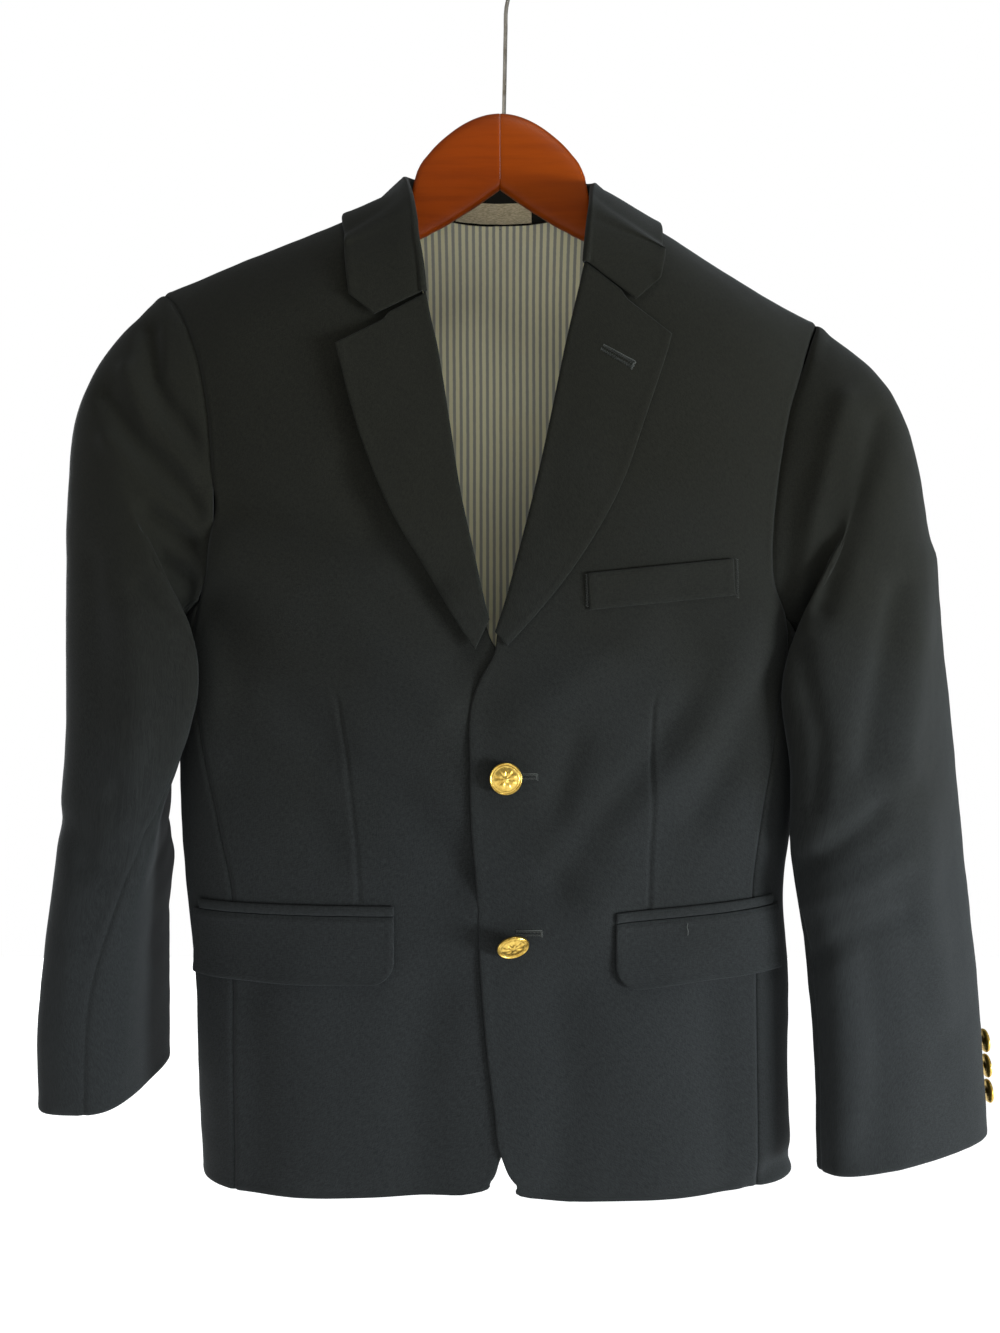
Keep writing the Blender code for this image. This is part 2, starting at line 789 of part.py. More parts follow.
def lapel(side, look):
    """A facing turned over on the roll line, from the gorge seam to where it ends."""
    rows = LAPEL[side]
    share = np.array((0, 0.025, 0.05, 0.1, 0.2, 0.3, 0.42, 0.54, 0.66, 0.78, 0.89, 1))
    value = {name: smooth(share, rows["share"], values) for name, values in rows.items()}
    roll = np.stack([side * value["roll_across"], value["roll_height"]], axis=-1)
    edge = np.stack([side * value["edge_across"], value["edge_height"]], axis=-1)
    width = np.linalg.norm(edge - roll, axis=-1)
    way = (edge - roll) / width[:, None]
    grids = []
    for turn_over, lie in ((FOLD_OUTSIDE, 2.1), (FOLD_INSIDE, 0.7)):
        columns = [(np.full(len(share), across), lift) for across, lift in turn_over]
        first = turn_over[-1][0]
        for part in LAPEL_SHARES:
            across = first + (width - first) * part
            columns.append((across, lie + LAPEL_STAND[side] * part**2 * np.clip(width / 45, 0, 1)))
        grid = []
        for across, lift in columns:
            place = roll + way * across[:, None]
            on = on_body(place[:, 0], place[:, 1], -1)
            grid.append(laid(on, np.broadcast_to(lift, on.shape[:1]), side))
        grids.append(np.stack(grid, axis=1))
    wall(side_name(side, "lapel"), *grids, look)


NECK_TURN = 0.06  # how slowly the neck seam starts down from the shoulder


def neck_seam(side, share):
    """The neck seam: shares 0 to 0.5 go round the back, and 0.5 to 1 down to the gorge."""
    behind = share <= 0.5
    across = BACK_NECK["across"][-1] * share * 2
    height = smooth(across, BACK_NECK["across"], BACK_NECK["height"])
    rear = on_body(side * across, np.minimum(height, shoulder_height(side * across) - 0.01), 1)
    edge = FRONT_EDGE[side]
    gorge = COLLAR[side]["fold_height"][-1]
    past = np.maximum(0, share * 2 - 1)
    gone = past * (1 + NECK_TURN) * past / (past + NECK_TURN)
    down = BACK_NECK["height"][-1] + (gorge - BACK_NECK["height"][-1]) * gone
    fore = on_body(side * smooth(down, edge["height"], edge["across"]), down, -1)
    return np.where(behind[:, None], rear, fore)


def collar_line(side, share, name):
    """The collar's fold or its outer edge, as named in the table."""
    rows = COLLAR[side]
    x, y, z = (smooth(share, rows["share"], rows[name + way]) for way in ("_across", "_depth", "_height"))
    return points(side * x, y, z)


COLLAR_SHARES = np.array((0, 0.12, 0.24, 0.36, 0.44, 0.5, 0.56, 0.64, 0.72, 0.8, 0.88, 0.94, 0.985))
ROLL_RADIUS = 1.5
HALF_COLLAR = 0.7
COLLAR_CLEAR = 2.9  # how far the middle of the fall stays from the body
LEAST_STAND = 3.2  # how high the fold stands where the stand runs out at the gorge seams
COLLAR_GAP = 0.9  # from the neck seam's line to the middle of the collar's foot


def collar_half(side):
    """Both faces of the collar from the middle of the back to a gorge seam."""
    share = COLLAR_SHARES
    seam = neck_seam(side, share)
    turn = collar_line(side, share, "fold")
    edge = collar_line(side, share, "edge")
    normal = outward(seam)[0]
    along = np.gradient(seam, axis=0)
    inward = unit(np.cross(along, normal)) * side
    foot = seam - normal * CLOTH / 2 + inward * COLLAR_GAP
    tall = np.linalg.norm(turn - foot, axis=-1, keepdims=True)
    low = fade(tall, 2 * LEAST_STAND, LEAST_STAND)
    up = unit(unit(turn - foot) * (1 - low) + unit(normal + inward * 0.3) * low)
    turn = foot + up * np.maximum(tall, LEAST_STAND)
    over = unit(np.cross(up, unit(np.gradient(turn, axis=0)))) * side
    centre = turn + over * ROLL_RADIUS - up * ROLL_RADIUS
    grids = []
    for face in (1, -1):
        thick = over * HALF_COLLAR * face
        lines = [foot - thick, (foot + centre - over * ROLL_RADIUS) / 2 - thick]
        for angle in np.radians((0, 45, 90, 135, 180)):
            rim = up * math.sin(angle) - over * math.cos(angle)
            lines.append(centre + rim * (ROLL_RADIUS + HALF_COLLAR * face))
        start = centre + over * ROLL_RADIUS
        fall = unit(edge - start)
        rise, reach = (np.sum(fall * way, axis=-1, keepdims=True) for way in (up, over))
        outside = unit(up * reach - over * rise)
        for part in (0.3, NOTCH_SHARE, 1.0):
            line = start + (edge - start) * part
            dip = part / NOTCH_SHARE if part <= NOTCH_SHARE else (1 - part) / (1 - NOTCH_SHARE)
            line[:, 2] -= NOTCH_DIP[side] * dip * fade(share, 0.86, 1.0)
            line = lifted(line, COLLAR_CLEAR)
            lines.append(line + outside * HALF_COLLAR * face)
        grids.append(np.stack(lines, axis=1))
    return grids


def collar(look):
    right, left = collar_half(RIGHT), collar_half(LEFT)
    walls = [np.concatenate([a[:0:-1], b]) for a, b in zip(right, left)]
    return wall("collar", *walls, look)


def strip(name, side, corners, columns, rows, lift, thickness, look, corner=0.0, stand=0.0):
    """Cloth lying on a front: corners are inner top, outer top, outer bottom and inner bottom."""
    a, b, c, d = (np.array(corner_place, float) for corner_place in corners)
    across = np.linspace(0, 1, columns)[None, :, None]
    down = np.array(rows)[:, None, None]
    place = (a + (b - a) * across) * (1 - down) + (d + (c - d) * across) * down
    if corner:
        above = np.linalg.norm(d - a) * (1 - down[..., 0])
        cut = np.clip(1 - above / corner, 0, 0.999)
        place[..., 0] += corner * (1 - np.sqrt(1 - cut**2)) * (1 - across[..., 0])
    on = on_body(side * place[..., 0], place[..., 1], -1)
    off = lift + stand * down[..., 0] ** 2 + np.zeros(on.shape[:2])
    return wall(name, laid(on, off + thickness, side), laid(on, off, side), look)


FLAP_ROWS = (0, 0.25, 0.5, 0.7, 0.8, 0.88, 0.94, 0.98, 1)


def pockets(look):
    for side in (RIGHT, LEFT):
        size = POCKET[side]
        inner, outer = size["inner"], size["outer"]
        tops = size["inner_top"], size["outer_top"]
        low = [top - POCKET_WELT_HEIGHT for top in tops]
        corners = ((inner, tops[0]), (outer - 4, tops[1]), (outer - 4, low[1]), (inner, low[0]))
        strip(side_name(side, "pocket_welt"), side, corners, 15, (0, 0.5, 1), 0.6, 1.2, look)
        top = [height - 0.5 for height in low]
        bottom = [height + POCKET_WELT_HEIGHT - size["drop"] for height in low]
        corners = ((inner, top[0]), (outer, top[1]), (outer, bottom[1]), (inner, bottom[0]))
        strip(side_name(side, "flap"), side, corners, 15, FLAP_ROWS, 0.6, 1.5, look, FLAP_CORNER, 1.5)
    size = BREAST_WELT
    inner, outer, high = size["inner"], size["outer"], size["height"]
    corners = (
        (inner, size["inner_top"]),
        (outer, size["outer_top"]),
        (outer + 1, size["outer_top"] - high),
        (inner + 1, size["inner_top"] - high),
    )
    strip("breast_welt", LEFT, corners, 9, (0, 0.5, 1), 0.5, 1.5, look)


def button_profile(size):
    """Radius and height of a domed shank button, from the cloth outward."""
    radius, height, shank = size["radius"], size["height"], size["shank"]
    rim = shank + height * 0.45
    return (
        (0.19 * radius, 0.3),
        (0.19 * radius, shank),
        (0.8 * radius, shank + 0.1 * height),
        (0.97 * radius, shank + 0.25 * height),
        (radius, rim),
        (0.96 * radius, rim + 0.15 * height),
        (0.86 * radius, rim + 0.13 * height),
        (0.5 * radius, rim + 0.3 * height),
        (0.15 * radius, shank + height),
    )


def buttons(look):
    for row, name in enumerate(("front_button_upper", "front_button_lower")):
        x, z = FRONT_BUTTONS["across"][row], FRONT_BUTTONS["height"][row]
        on = laid(on_body(np.array([x]), np.array([z]), -1), np.zeros(1), LEFT)[0]
        droop = math.radians(FRONT_BUTTONS["droop"][row])
        lean = math.radians(FRONT_BUTTONS["lean"][row])
        axis = (math.sin(lean), -math.cos(droop), -math.sin(droop))
        place = on - np.array((0, BUTTON_HANG * math.sin(droop), 0))
        turned(name, button_profile(FRONT_BUTTON), 18, place, axis, look)
    for side in (RIGHT, LEFT):
        outer, inner = sleeve_grid(side)
        column = sleeve_seams(side)[1] + 1
        line, below = outer[:, column], inner[:, column]
        for number, height in enumerate(CUFF_BUTTON_PLACES[side], 1):
            place = [np.interp(-height, -line[:, 2], line[:, k]) for k in range(3)]
            under = [np.interp(-height, -below[:, 2], below[:, k]) for k in range(3)]
            axis = np.array(place) - np.array(under)
            name = side_name(side, f"cuff_button_{number}")
            turned(name, button_profile(CUFF_BUTTON), 12, np.array(place), axis, look)


LINING_THICKNESS = 1.0


def back_lining(look):
    """The lining across both halves of the back, short of the shoulder and the hem."""
    halves = []
    for side in (RIGHT, LEFT):
        x, z = back_places(side)
        halves.append(on_body(x[3:-3, :-1], z[3:-3, :-1], 1))
    halves[0][:, 0, 0] = 0
    place = np.concatenate([halves[0][:, :0:-1], halves[1]], axis=1)
    place[:, halves[0].shape[1] - 1, 0] = 0
    panel("back_lining", place, look, lift=-CLOTH - 1.4, thickness=LINING_THICKNESS)


NECK_LABEL = {"right": 28.0, "left": 20.0, "low": 283.5, "high": 296.0, "thickness": 1.0}


def neck_label(look):
    """A bare label on the inside of the collar's stand."""
    size = NECK_LABEL
    right, left = collar_half(RIGHT)[0], collar_half(LEFT)[0]
    stand = np.concatenate([right[:0:-1, :3], left[:, :3]])
    x = np.linspace(-size["right"], size["left"], 9)
    z = np.array((size["low"], (size["low"] + size["high"]) / 2, size["high"]))
    depth_at = np.array([[np.interp(level, line[:, 2], line[:, 1]) for line in stand] for level in z])
    across = stand[:, 1, 0]
    order = np.argsort(across)
    y = np.array([np.interp(x, across[order], row[order]) for row in depth_at])
    outer = points(np.broadcast_to(x, y.shape), y - 0.35, np.broadcast_to(z[:, None], y.shape))
    inner = outer + np.array((0, -size["thickness"], 0))
    wall("neck_label", outer, inner, look)


def arm_top(side, x):
    near = smooth(x, ARM_TOP["across"], ARM_TOP["height"])
    far = shoulder_height(side * x) - CLOTH - 0.6
    return np.where(x > 62, np.minimum(near, far), near)


ARM_SECTION = (
    (-0.6, 0.0),
    (-1, 0.12),
    (-1, 0.86),
    (-0.68, 0.96),
    (0, 1.0),
    (0.68, 0.96),
    (1, 0.86),
    (1, 0.12),
    (0.6, 0.0),
)


def hanger(wood, steel):
    hole = turned(
        "wire_hole",
        ((WIRE / 2 + 0.3, -14), (WIRE / 2 + 0.3, 6)),
        12,
        np.array((WIRE_AT, 0, ARM_TOP["height"][0])),
        (0, 0, 1),
        wood,
    )
    hole.hide_render = True
    hole.display_type = "WIRE"
    for side in (RIGHT, LEFT):
        x = np.array((0.15, 8, 17, 25, 33, 40, 46, 50, 53, 56, 59, 63, 75, 100, 125, 148))
        x = np.append(x, (ARM_LENGTH[side] - 5, ARM_LENGTH[side]))
        top = arm_top(side, x)
        tall = smooth(x, ARM_HEIGHT["across"], ARM_HEIGHT["height"])
        bottom = top - tall
        half = ARM_THICKNESS / 2 * np.where(x > ARM_LENGTH[side] - 2, 0.7, 1)
        sections = np.array(
            [points(side * x, half * wide, bottom + tall * high) for wide, high in ARM_SECTION]
        ).transpose(1, 0, 2)
        arm = rings("hanger_" + side_name(side, "arm"), sections, wood)
        if side == LEFT:
            drill = arm.modifiers.new("wire_hole", "BOOLEAN")
            drill.operation = "DIFFERENCE"
            drill.object = hole
    wire(steel)


def wire(look):
    """The hook: a straight stem that bends out, over the top and round to its tip."""
    radius = HOOK_INSIDE + WIRE / 2
    middle = -CHEST_LEVEL - HOOK_INSIDE
    stem = [(WIRE_AT, ARM_TOP["height"][0] - 10), (2.6, 345), (3.0, 365), (3.4, 385), (4.0, 400)]
    bend = [(7.0, 410), (13.5, 418)]
    route = stem + bend
    for angle in np.radians(np.linspace(-20, 215, 22)):
        route.append((radius * math.cos(angle), middle + radius * math.sin(angle)))
    route = np.array(route)
    known = np.concatenate([[0], np.cumsum(np.linalg.norm(np.diff(route, axis=0), axis=1))])
    spaced = np.linspace(0, known[-1], 46)
    line = np.stack([smooth(spaced, known, route[:, k]) for k in range(2)], axis=-1)
    curve = bpy.data.curves.new("hanger_hook", "CURVE")
    curve.dimensions = "3D"
    spline = curve.splines.new("POLY")
    spline.points.add(len(line) - 1)
    for point, (x, z) in zip(spline.points, line):
        point.co = (x * MM, 0, (z + CHEST_LEVEL) * MM, 1)
    curve.bevel_depth = WIRE / 2 * MM
    curve.bevel_resolution = 2
    curve.use_fill_caps = True
    curve.materials.append(look)
    bpy.context.collection.objects.link(bpy.data.objects.new("hanger_hook", curve))


def main():
    for old in list(bpy.data.objects):
        bpy.data.objects.remove(old, do_unlink=True)
    wool = material("wool", WOOL, 0.85)
    gold = material("gilt_metal", GOLD, 0.3, 1.0)
    body(wool)
    sleeves(wool)
    for side in (RIGHT, LEFT):
        lapel(side, wool)
    collar(wool)
    pockets(wool)
    buttons(gold)
    back_lining(material("striped_lining", LINING, 0.6))
    neck_label(material("label", LABEL, 0.7))
    hanger(material("stained_wood", WOOD, 0.35), material("steel", STEEL, 0.3, 1.0))


main()
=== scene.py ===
# A boy's two-button blazer on a wooden hanger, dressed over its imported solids.
# Tables are in millimetres, with heights counted from chest level. Left and right are the wearer's.
import math

import bpy
import numpy as np
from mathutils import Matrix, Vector


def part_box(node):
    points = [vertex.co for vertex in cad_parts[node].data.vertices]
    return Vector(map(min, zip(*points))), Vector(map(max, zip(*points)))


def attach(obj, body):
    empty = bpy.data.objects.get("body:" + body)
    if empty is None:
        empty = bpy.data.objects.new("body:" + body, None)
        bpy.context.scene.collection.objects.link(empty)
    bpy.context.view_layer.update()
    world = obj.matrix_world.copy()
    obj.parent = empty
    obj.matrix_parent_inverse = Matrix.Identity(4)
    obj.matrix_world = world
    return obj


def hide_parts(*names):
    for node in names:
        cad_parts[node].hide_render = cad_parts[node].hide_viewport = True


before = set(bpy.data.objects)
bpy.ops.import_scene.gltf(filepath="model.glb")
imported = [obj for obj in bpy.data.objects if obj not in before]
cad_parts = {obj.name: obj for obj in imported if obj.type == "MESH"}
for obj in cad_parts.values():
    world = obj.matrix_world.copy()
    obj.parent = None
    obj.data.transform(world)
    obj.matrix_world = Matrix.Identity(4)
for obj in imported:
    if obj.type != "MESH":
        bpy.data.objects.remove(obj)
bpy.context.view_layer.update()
print("solids loaded")

chestLevel = -450.0  # chest level below the inside top of the hook
left, right = 1, -1

# The photograph was taken from in front of the chest, a little over half a metre away.
cameraPlace = {"distance": 655.0, "frontPlane": 600.0, "perPixel": 0.555, "tall": 1333, "wide": 1000}
cameraData = bpy.data.cameras.new("camera")
cameraData.sensor_fit = "VERTICAL"
cameraData.sensor_height = 36
cameraData.lens = 36 * cameraPlace["frontPlane"] / (cameraPlace["tall"] * cameraPlace["perPixel"])
camera = bpy.data.objects.new("camera", cameraData)
camera.location = (0, -cameraPlace["distance"] / 1000, chestLevel / 1000)
camera.rotation_euler = (math.pi / 2, 0, 0)
bpy.context.scene.collection.objects.link(camera)
bpy.context.scene.camera = camera

clothThickness = 1.5  # outer cloth with its interlining
backHem = -299.0  # the middle of the back's hem
roundness = 2.8  # exponent of the body's sections, 2 for an ellipse
shoulderRoll = 65.0  # how far below the shoulder line the body reaches its full depth
overlap = 2.3  # how far the left front stands out where it laps the right one


# Rows of numbers as one array for each named column.
def table(columns, *rows):
    return dict(zip(columns.split(), np.array(rows, float).T))


# The body's sections, from the hem up
body = table(
    "height rightHalf leftHalf frontDepth backDepth",
    (-310, 176, 175, 55, 58),
    (-240, 180, 172, 56, 58),
    (-180, 182, 172, 57, 57),
    (-130, 187, 169, 58, 56),
    (-85, 190, 174, 58, 56),
    (30, 192, 180, 58, 55),
    (150, 199, 187, 55, 52),
    (230, 209, 197, 52, 50),
    (310, 212, 200, 50, 50),
)

# The line over both shoulders, from the right shoulder point to the left one
shoulderLine = table(
    "across height",
    (-212, 221),
    (-203, 224.5),
    (-176, 234.5),
    (-130, 252),
    (-92, 267),
    (-62, 280),
    (-30, 293),
    (0, 299),
    (30, 293),
    (62, 280),
    (91, 263),
    (130, 239),
    (172, 215.5),
    (191, 206.5),
    (202, 201),
)

# How far out each armhole seam runs, in front and behind
armhole = {
    right: table(
        "height front back",
        (26, 191.5, 191.5),
        (30, 184, 186),
        (38, 175, 180),
        (55, 167, 174),
        (80, 164.4, 171),
        (104, 164.4, 170),
        (129, 165.8, 171),
        (155, 168.7, 174),
        (180, 174.7, 179),
        (199, 182.7, 186),
        (213, 191.5, 193),
        (224.5, 203, 203),
    ),
    left: table(
        "height front back",
        (16, 179, 179),
        (20, 172, 174),
        (28, 164, 169),
        (45, 157.5, 164),
        (68, 156, 161),
        (104, 159, 161),
        (135, 164.4, 164),
        (150, 168, 168),
        (169, 175, 174),
        (194, 184.6, 184.6),
        (206.5, 191, 191),
    ),
}

# How far out the seams of the side panels run, in front and behind
sideSeams = {
    right: table(
        "height front back",
        (-299, 152, 140),
        (-175, 152, 141),
        (-130, 151.5, 142),
        (-90, 160, 147),
        (-40, 172, 158),
        (38, 175, 180),
    ),
    left: table(
        "height front back",
        (-297, 148, 138),
        (-175, 146, 138),
        (-130, 144, 138),
        (-90, 149, 144),
        (-40, 158, 154),
        (28, 164, 169),
    ),
}

# The free edge of each front, from the hem up to the neck point: how far it lies from the middle
frontEdge = {
    right: table(
        "height across",
        (-294, 24),
        (-292, 12),
        (-286, 5),
        (-274, 0),
        (-255, -8),
        (-220, -18),
        (-150, -24),
        (-60, -24),
        (-20, -17),
        (0, -5),
        (14, 4.5),
        (25, 8.4),
        (37, 11.6),
        (67, 17.3),
        (98, 23.7),
        (138, 30.2),
        (177, 36.4),
        (207, 42.6),
        (222, 46),
        (245, 51.5),
        (262, 57),
        (280, 62.5),
    ),
    left: table(
        "height across",
        (-297, 35.5),
        (-295, 19.4),
        (-287, 9),
        (-272, 1),
        (-244, -3.3),
        (-218, -6.7),
        (-174, -10.5),
        (-117, -13.3),
        (-93, -15.5),
        (-57, -16.6),
        (-14, -13.9),
        (-6, -10.5),
        (6, -3.5),
        (21, -1.1),
        (37, 5.2),
        (67, 13),
        (98, 20.7),
        (138, 29.7),
        (177, 37.2),
        (206, 43.9),
        (224, 48),
        (245, 52.5),
        (262, 57.5),
        (280, 62.5),
    ),
}

# The neck seam behind: its height, across from the middle of the back
backNeck = table(
    "across height",
    (-1, 280),
    (20, 280),
    (40, 281),
    (55, 281.5),
    (62.5, 280),
)

# The roll line that each lapel turns over on, and the lapel's outer edge
lapel = {
    right: table(
        "share rollAcross rollHeight edgeAcross edgeHeight",
        (0, 40.7, 205.9, 90.6, 178.5),
        (0.05, 39, 197, 88.4, 170),
        (0.2, 34.5, 177, 79.5, 136.5),
        (0.36, 28.3, 138.5, 68.4, 104.8),
        (0.52, 22, 98, 56.2, 79.2),
        (0.68, 15.2, 67, 40.6, 53.1),
        (0.84, 9.3, 40, 26.7, 29.2),
        (1, 5.8, 26, 13.8, 9),
    ),
    left: table(
        "share rollAcross rollHeight edgeAcross edgeHeight",
        (0, 46.6, 223.6, 95.6, 185.3),
        (0.05, 44.5, 214, 93.4, 177),
        (0.2, 36.5, 180, 80.5, 138),
        (0.36, 28, 138.5, 69, 104.8),
        (0.52, 19, 98, 56.2, 79.2),
        (0.68, 11.1, 67, 39.5, 53.1),
        (0.84, 3.4, 38, 22, 31),
        (1, -2.8, 19, 4, 11),
    ),
}

# The collar from the middle of the back round to a gorge seam: its fold, then its outer edge
collar = {
    side: table(
        "share foldAcross foldDepth foldHeight edgeAcross edgeDepth edgeHeight",
        (0, 0, 41, 314, 0, 46, 272),
        (0.15, 20, 40, 312.5, 25, 45, 271),
        (0.3, 38, 31, 308, 50, 41, 268),
        *sideRows,
    )
    for side, sideRows in {
        right: (
            (0.42, 51, 15, 301, 76, 22, 268),
            (0.5, 55.5, 2, 296, 89, 0, 266),
            (0.56, 53, -18, 284, 89.5, -22, 256),
            (0.62, 49.5, -36, 268.5, 88, -42, 244.5),
            (0.76, 45.3, -50, 244.5, 87, -50, 232.5),
            (0.88, 42.2, -56, 224, 85.5, -54, 218.5),
            (1, 40.7, -57, 205.5, 83.7, -55, 205.5),
        ),
        left: (
            (0.42, 50.5, 15, 299, 76, 22, 265),
            (0.5, 55, 2, 292, 89, 0, 262),
            (0.56, 53, -18, 281, 91, -22, 250),
            (0.62, 50.8, -37, 266, 92, -42, 238.5),
            (0.76, 48.1, -50, 247, 93.5, -46, 235),
            (0.88, 46.6, -55, 232.5, 91.7, -50, 225.5),
            (1, 46, -56, 223, 89.6, -53, 216),
        ),
    }.items()
}

# Sections of the sleeves from the armhole down: middle, half width, half depth, turn inward in
# front in degrees, how much higher the outer side is, and how far the front end bends inward
sleeve = {
    right: table(
        "across depth height wide deep turn rise bend",
        (196.5, 0, 125, 6.5, 45, 0, 99, 0),
        (212, 0, 106, 16, 47, 5, 91, 3),
        (222, 0, 89, 24.5, 49, 10, 83, 8),
        (227, 0, 67, 28.5, 51, 14, 69, 18),
        (229.5, 0, 39, 30, 53, 15, 54, 34),
        (230, 0, 6, 30, 54, 15, 37, 38),
        (230, -1, -35, 29, 54, 12, 22, 30),
        (231, -2, -82, 28.5, 54.5, 8, 12, 17),
        (233, -2, -128, 28, 55, 4, 7, 7),
        (236, -1, -186, 27.5, 55.5, -1, 3, 0),
        (237, 0, -249, 26.5, 56, -3, 0, 0),
    ),
    left: table(
        "across depth height wide deep turn rise bend",
        (185, 0, 111, 6, 45, 0, 95, 0),
        (203, 0, 96, 15, 47, 8, 88, 3),
        (215, 0, 79, 24, 50, 16, 80, 8),
        (221, 0, 56, 29.5, 53, 22, 66, 18),
        (225, 0, 28, 32, 56, 28, 49, 28),
        (228, -2, -6, 32.5, 59, 36, 32, 28),
        (230, -5, -50, 31, 62, 43, 17, 18),
        (231, -8, -98, 29, 64, 49, 9, 14),
        (233, -12, -152, 26.5, 65, 54, 5, 4),
        (236, -15, -212, 24, 65, 58, 3, 0),
        (238.5, -18, -284, 22.5, 64, 61, 2, 0),
    ),
}

# The largest folds of the fronts: two ends, half width, and rise
folds = {
    right: (
        (-150, 88, -78, 70, 13, -2.5),
        (-154, 60, -36, -20, 17, 3),
        (-160, 34, -100, -44, 14, -3),
        (-150, -36, -34, -118, 22, -2),
    ),
    left: (
        (31, -76, 41, -42, 10, -2.5),
        (36, -110, 78, -58, 18, 2.5),
        (60, -112, 120, -60, 14, -2),
        (100, 28, 140, -50, 16, -2),
    ),
}

pocket = {
    right: {"inner": 58.5, "outer": 176, "innerTop": -132.5, "outerTop": -133, "drop": 43.5},
    left: {"inner": 63.8, "outer": 160, "innerTop": -136, "outerTop": -130.5, "drop": 42},
}
pocketWeltHeight = 5.5
breastWelt = {"inner": 48, "outer": 130.5, "innerTop": 51.5, "outerTop": 60.5, "height": 20.5}

frontButton = {"radius": 9.0, "height": 4.6, "shank": 2.6}
cuffButton = {"radius": 7.0, "height": 3.8, "shank": 1.6}
frontButtons = table(
    "across height droop lean",
    (3.2, -61, 4, 0),
    (6.2, -150, 40, 12),
)
buttonHang = 4.9  # how far a drooping button's shank comes away from the cloth

# The hanger: its upper edge as far as the neck, then its height at places along an arm
armTop = table(
    "across height",
    (0, 334.5),
    (8, 333.5),
    (17, 330.5),
    (30, 322.5),
    (43, 310),
    (49, 301.5),
    (51.5, 295),
    (53.2, 286),
    (55, 279.5),
    (58, 277.5),
    (62, 276.5),
)
armHeight = table(
    "across height",
    (0, 45.5),
    (5, 48.5),
    (12, 52),
    (25, 54),
    (40, 50),
    (50, 41),
    (55, 29),
    (62, 26),
    (100, 25),
    (150, 21),
    (172, 15),
)
armLength = {right: 172.0, left: 164.0}
armThickness = 11.0
armClear = 0.6  # how far the arms stay below the cloth over them


# A smooth curve through a table's values, level beyond its ends.
def smooth(at, known, values):
    slopes = np.gradient(values, known)
    at = np.clip(at, known[0], known[-1])
    row = np.clip(np.searchsorted(known, at) - 1, 0, len(known) - 2)
    step = known[row + 1] - known[row]
    s = (at - known[row]) / step
    rise = s * s * (3 - 2 * s)
    value = values[row] + (values[row + 1] - values[row]) * rise
    return value + step * s * (1 - s) * (slopes[row] * (1 - s) - slopes[row + 1] * s)


def fade(at, start, end):
    s = np.clip((at - start) / (end - start), 0, 1)
    return s * s * (3 - 2 * s)


def unit(vectors):
    return vectors / np.linalg.norm(vectors, axis=-1, keepdims=True)


def points(x, y, z):
    return np.stack(np.broadcast_arrays(x, y, z), axis=-1).astype(float)


def shoulderHeight(x):
    return smooth(x, shoulderLine["across"], shoulderLine["height"])


def halfWidth(x, z):
    onRight = smooth(z, body["height"], body["rightHalf"])
    onLeft = smooth(z, body["height"], body["leftHalf"])
    return np.where(x < 0, onRight, onLeft)


# The body's half depth at a height, in front (face -1) or behind (face 1).
def depth(z, face):
    front = smooth(z, body["height"], body["frontDepth"])
    back = smooth(z, body["height"], body["backDepth"])
    return np.where(face < 0, front, back)


# How far the folds push the front outward.
def fold(x, z):
    total = np.zeros(np.broadcast(x, z).shape)
    for rows in folds.values():
        for x1, z1, x2, z2, width, rise in rows:
            length = math.hypot(x2 - x1, z2 - z1)
            along = ((x - x1) * (x2 - x1) + (z - z1) * (z2 - z1)) / length**2
            along = np.clip(along, 0, 1)
            away = np.hypot(x - x1 - along * (x2 - x1), z - z1 - along * (z2 - z1))
            total = total + rise * np.exp(-((away / width) ** 2))
    return total * fade(1 - np.abs(x) / halfWidth(x, z), 0.02, 0.2)


# Zero on the body's surface and more outside it.
def bodySide(x, y, z):
    face = np.where(y < 0, -1, 1)
    outward = np.where(y < 0, fold(x, z), 0.0)
    thick = (np.abs(y) - outward) / depth(z, face)
    rest = 1 - (np.abs(x) / halfWidth(x, z)) ** roundness
    across = np.sign(rest) * np.abs(rest) ** (2 / roundness)
    below = np.maximum(0, 1 - (shoulderHeight(x) - z) / shoulderRoll)
    return thick * np.abs(thick) - (1 - below**2) * across


# The way out of the body's surface at each place, and how steeply it is left.
def outward(place, step=0.1):
    x, y, z = np.moveaxis(place, -1, 0)
    slope = points(
        bodySide(x + step, y, z) - bodySide(x - step, y, z),
        bodySide(x, y + step, z) - bodySide(x, y - step, z),
        bodySide(x, y, z + step) - bodySide(x, y, z - step),
    )
    steepness = np.linalg.norm(slope, axis=-1)
    return slope / steepness[..., None], steepness / (2 * step)


# Points of the body's surface, in front (face -1) or behind (face 1).
def onBody(x, z, face):
    x, z = np.broadcast_arrays(np.asarray(x, float), np.asarray(z, float))
    rest = np.clip(1 - (np.abs(x) / halfWidth(x, z)) ** roundness, 0, 1)
    below = np.clip(1 - (shoulderHeight(x) - z) / shoulderRoll, 0, 1)
    deep = depth(z, np.full(x.shape, face)) * rest ** (1 / roundness)
    deep = deep * np.sqrt(1 - below**2)
    if face < 0:
        deep = deep + fold(x, z)
    return points(x, face * deep, z)


# Points round the side: share runs from 1 at the full depth in front to -1 behind.
def onFlank(side, share, z):
    face = np.where(share > 0, -1, 1)
    half = halfWidth(np.full(np.shape(z), float(side)), z)
    x = side * half * (1 - np.abs(share) ** roundness) ** (1 / roundness)
    return points(x, -share * depth(z, face), z)


# How far the left front stands out over the right one.
def lapped(place):
    x, z = place[..., 0], place[..., 2]
    return overlap * (1 - fade(x, 38, 85)) * (1 - fade(z, 28, 70))


# Points moved out from the body, and over the lap on the left front.
def laid(place, lift, side=right):
    if side == left:
        lift = lift + lapped(place)
    return place + outward(place)[0] * np.asarray(lift)[..., None]


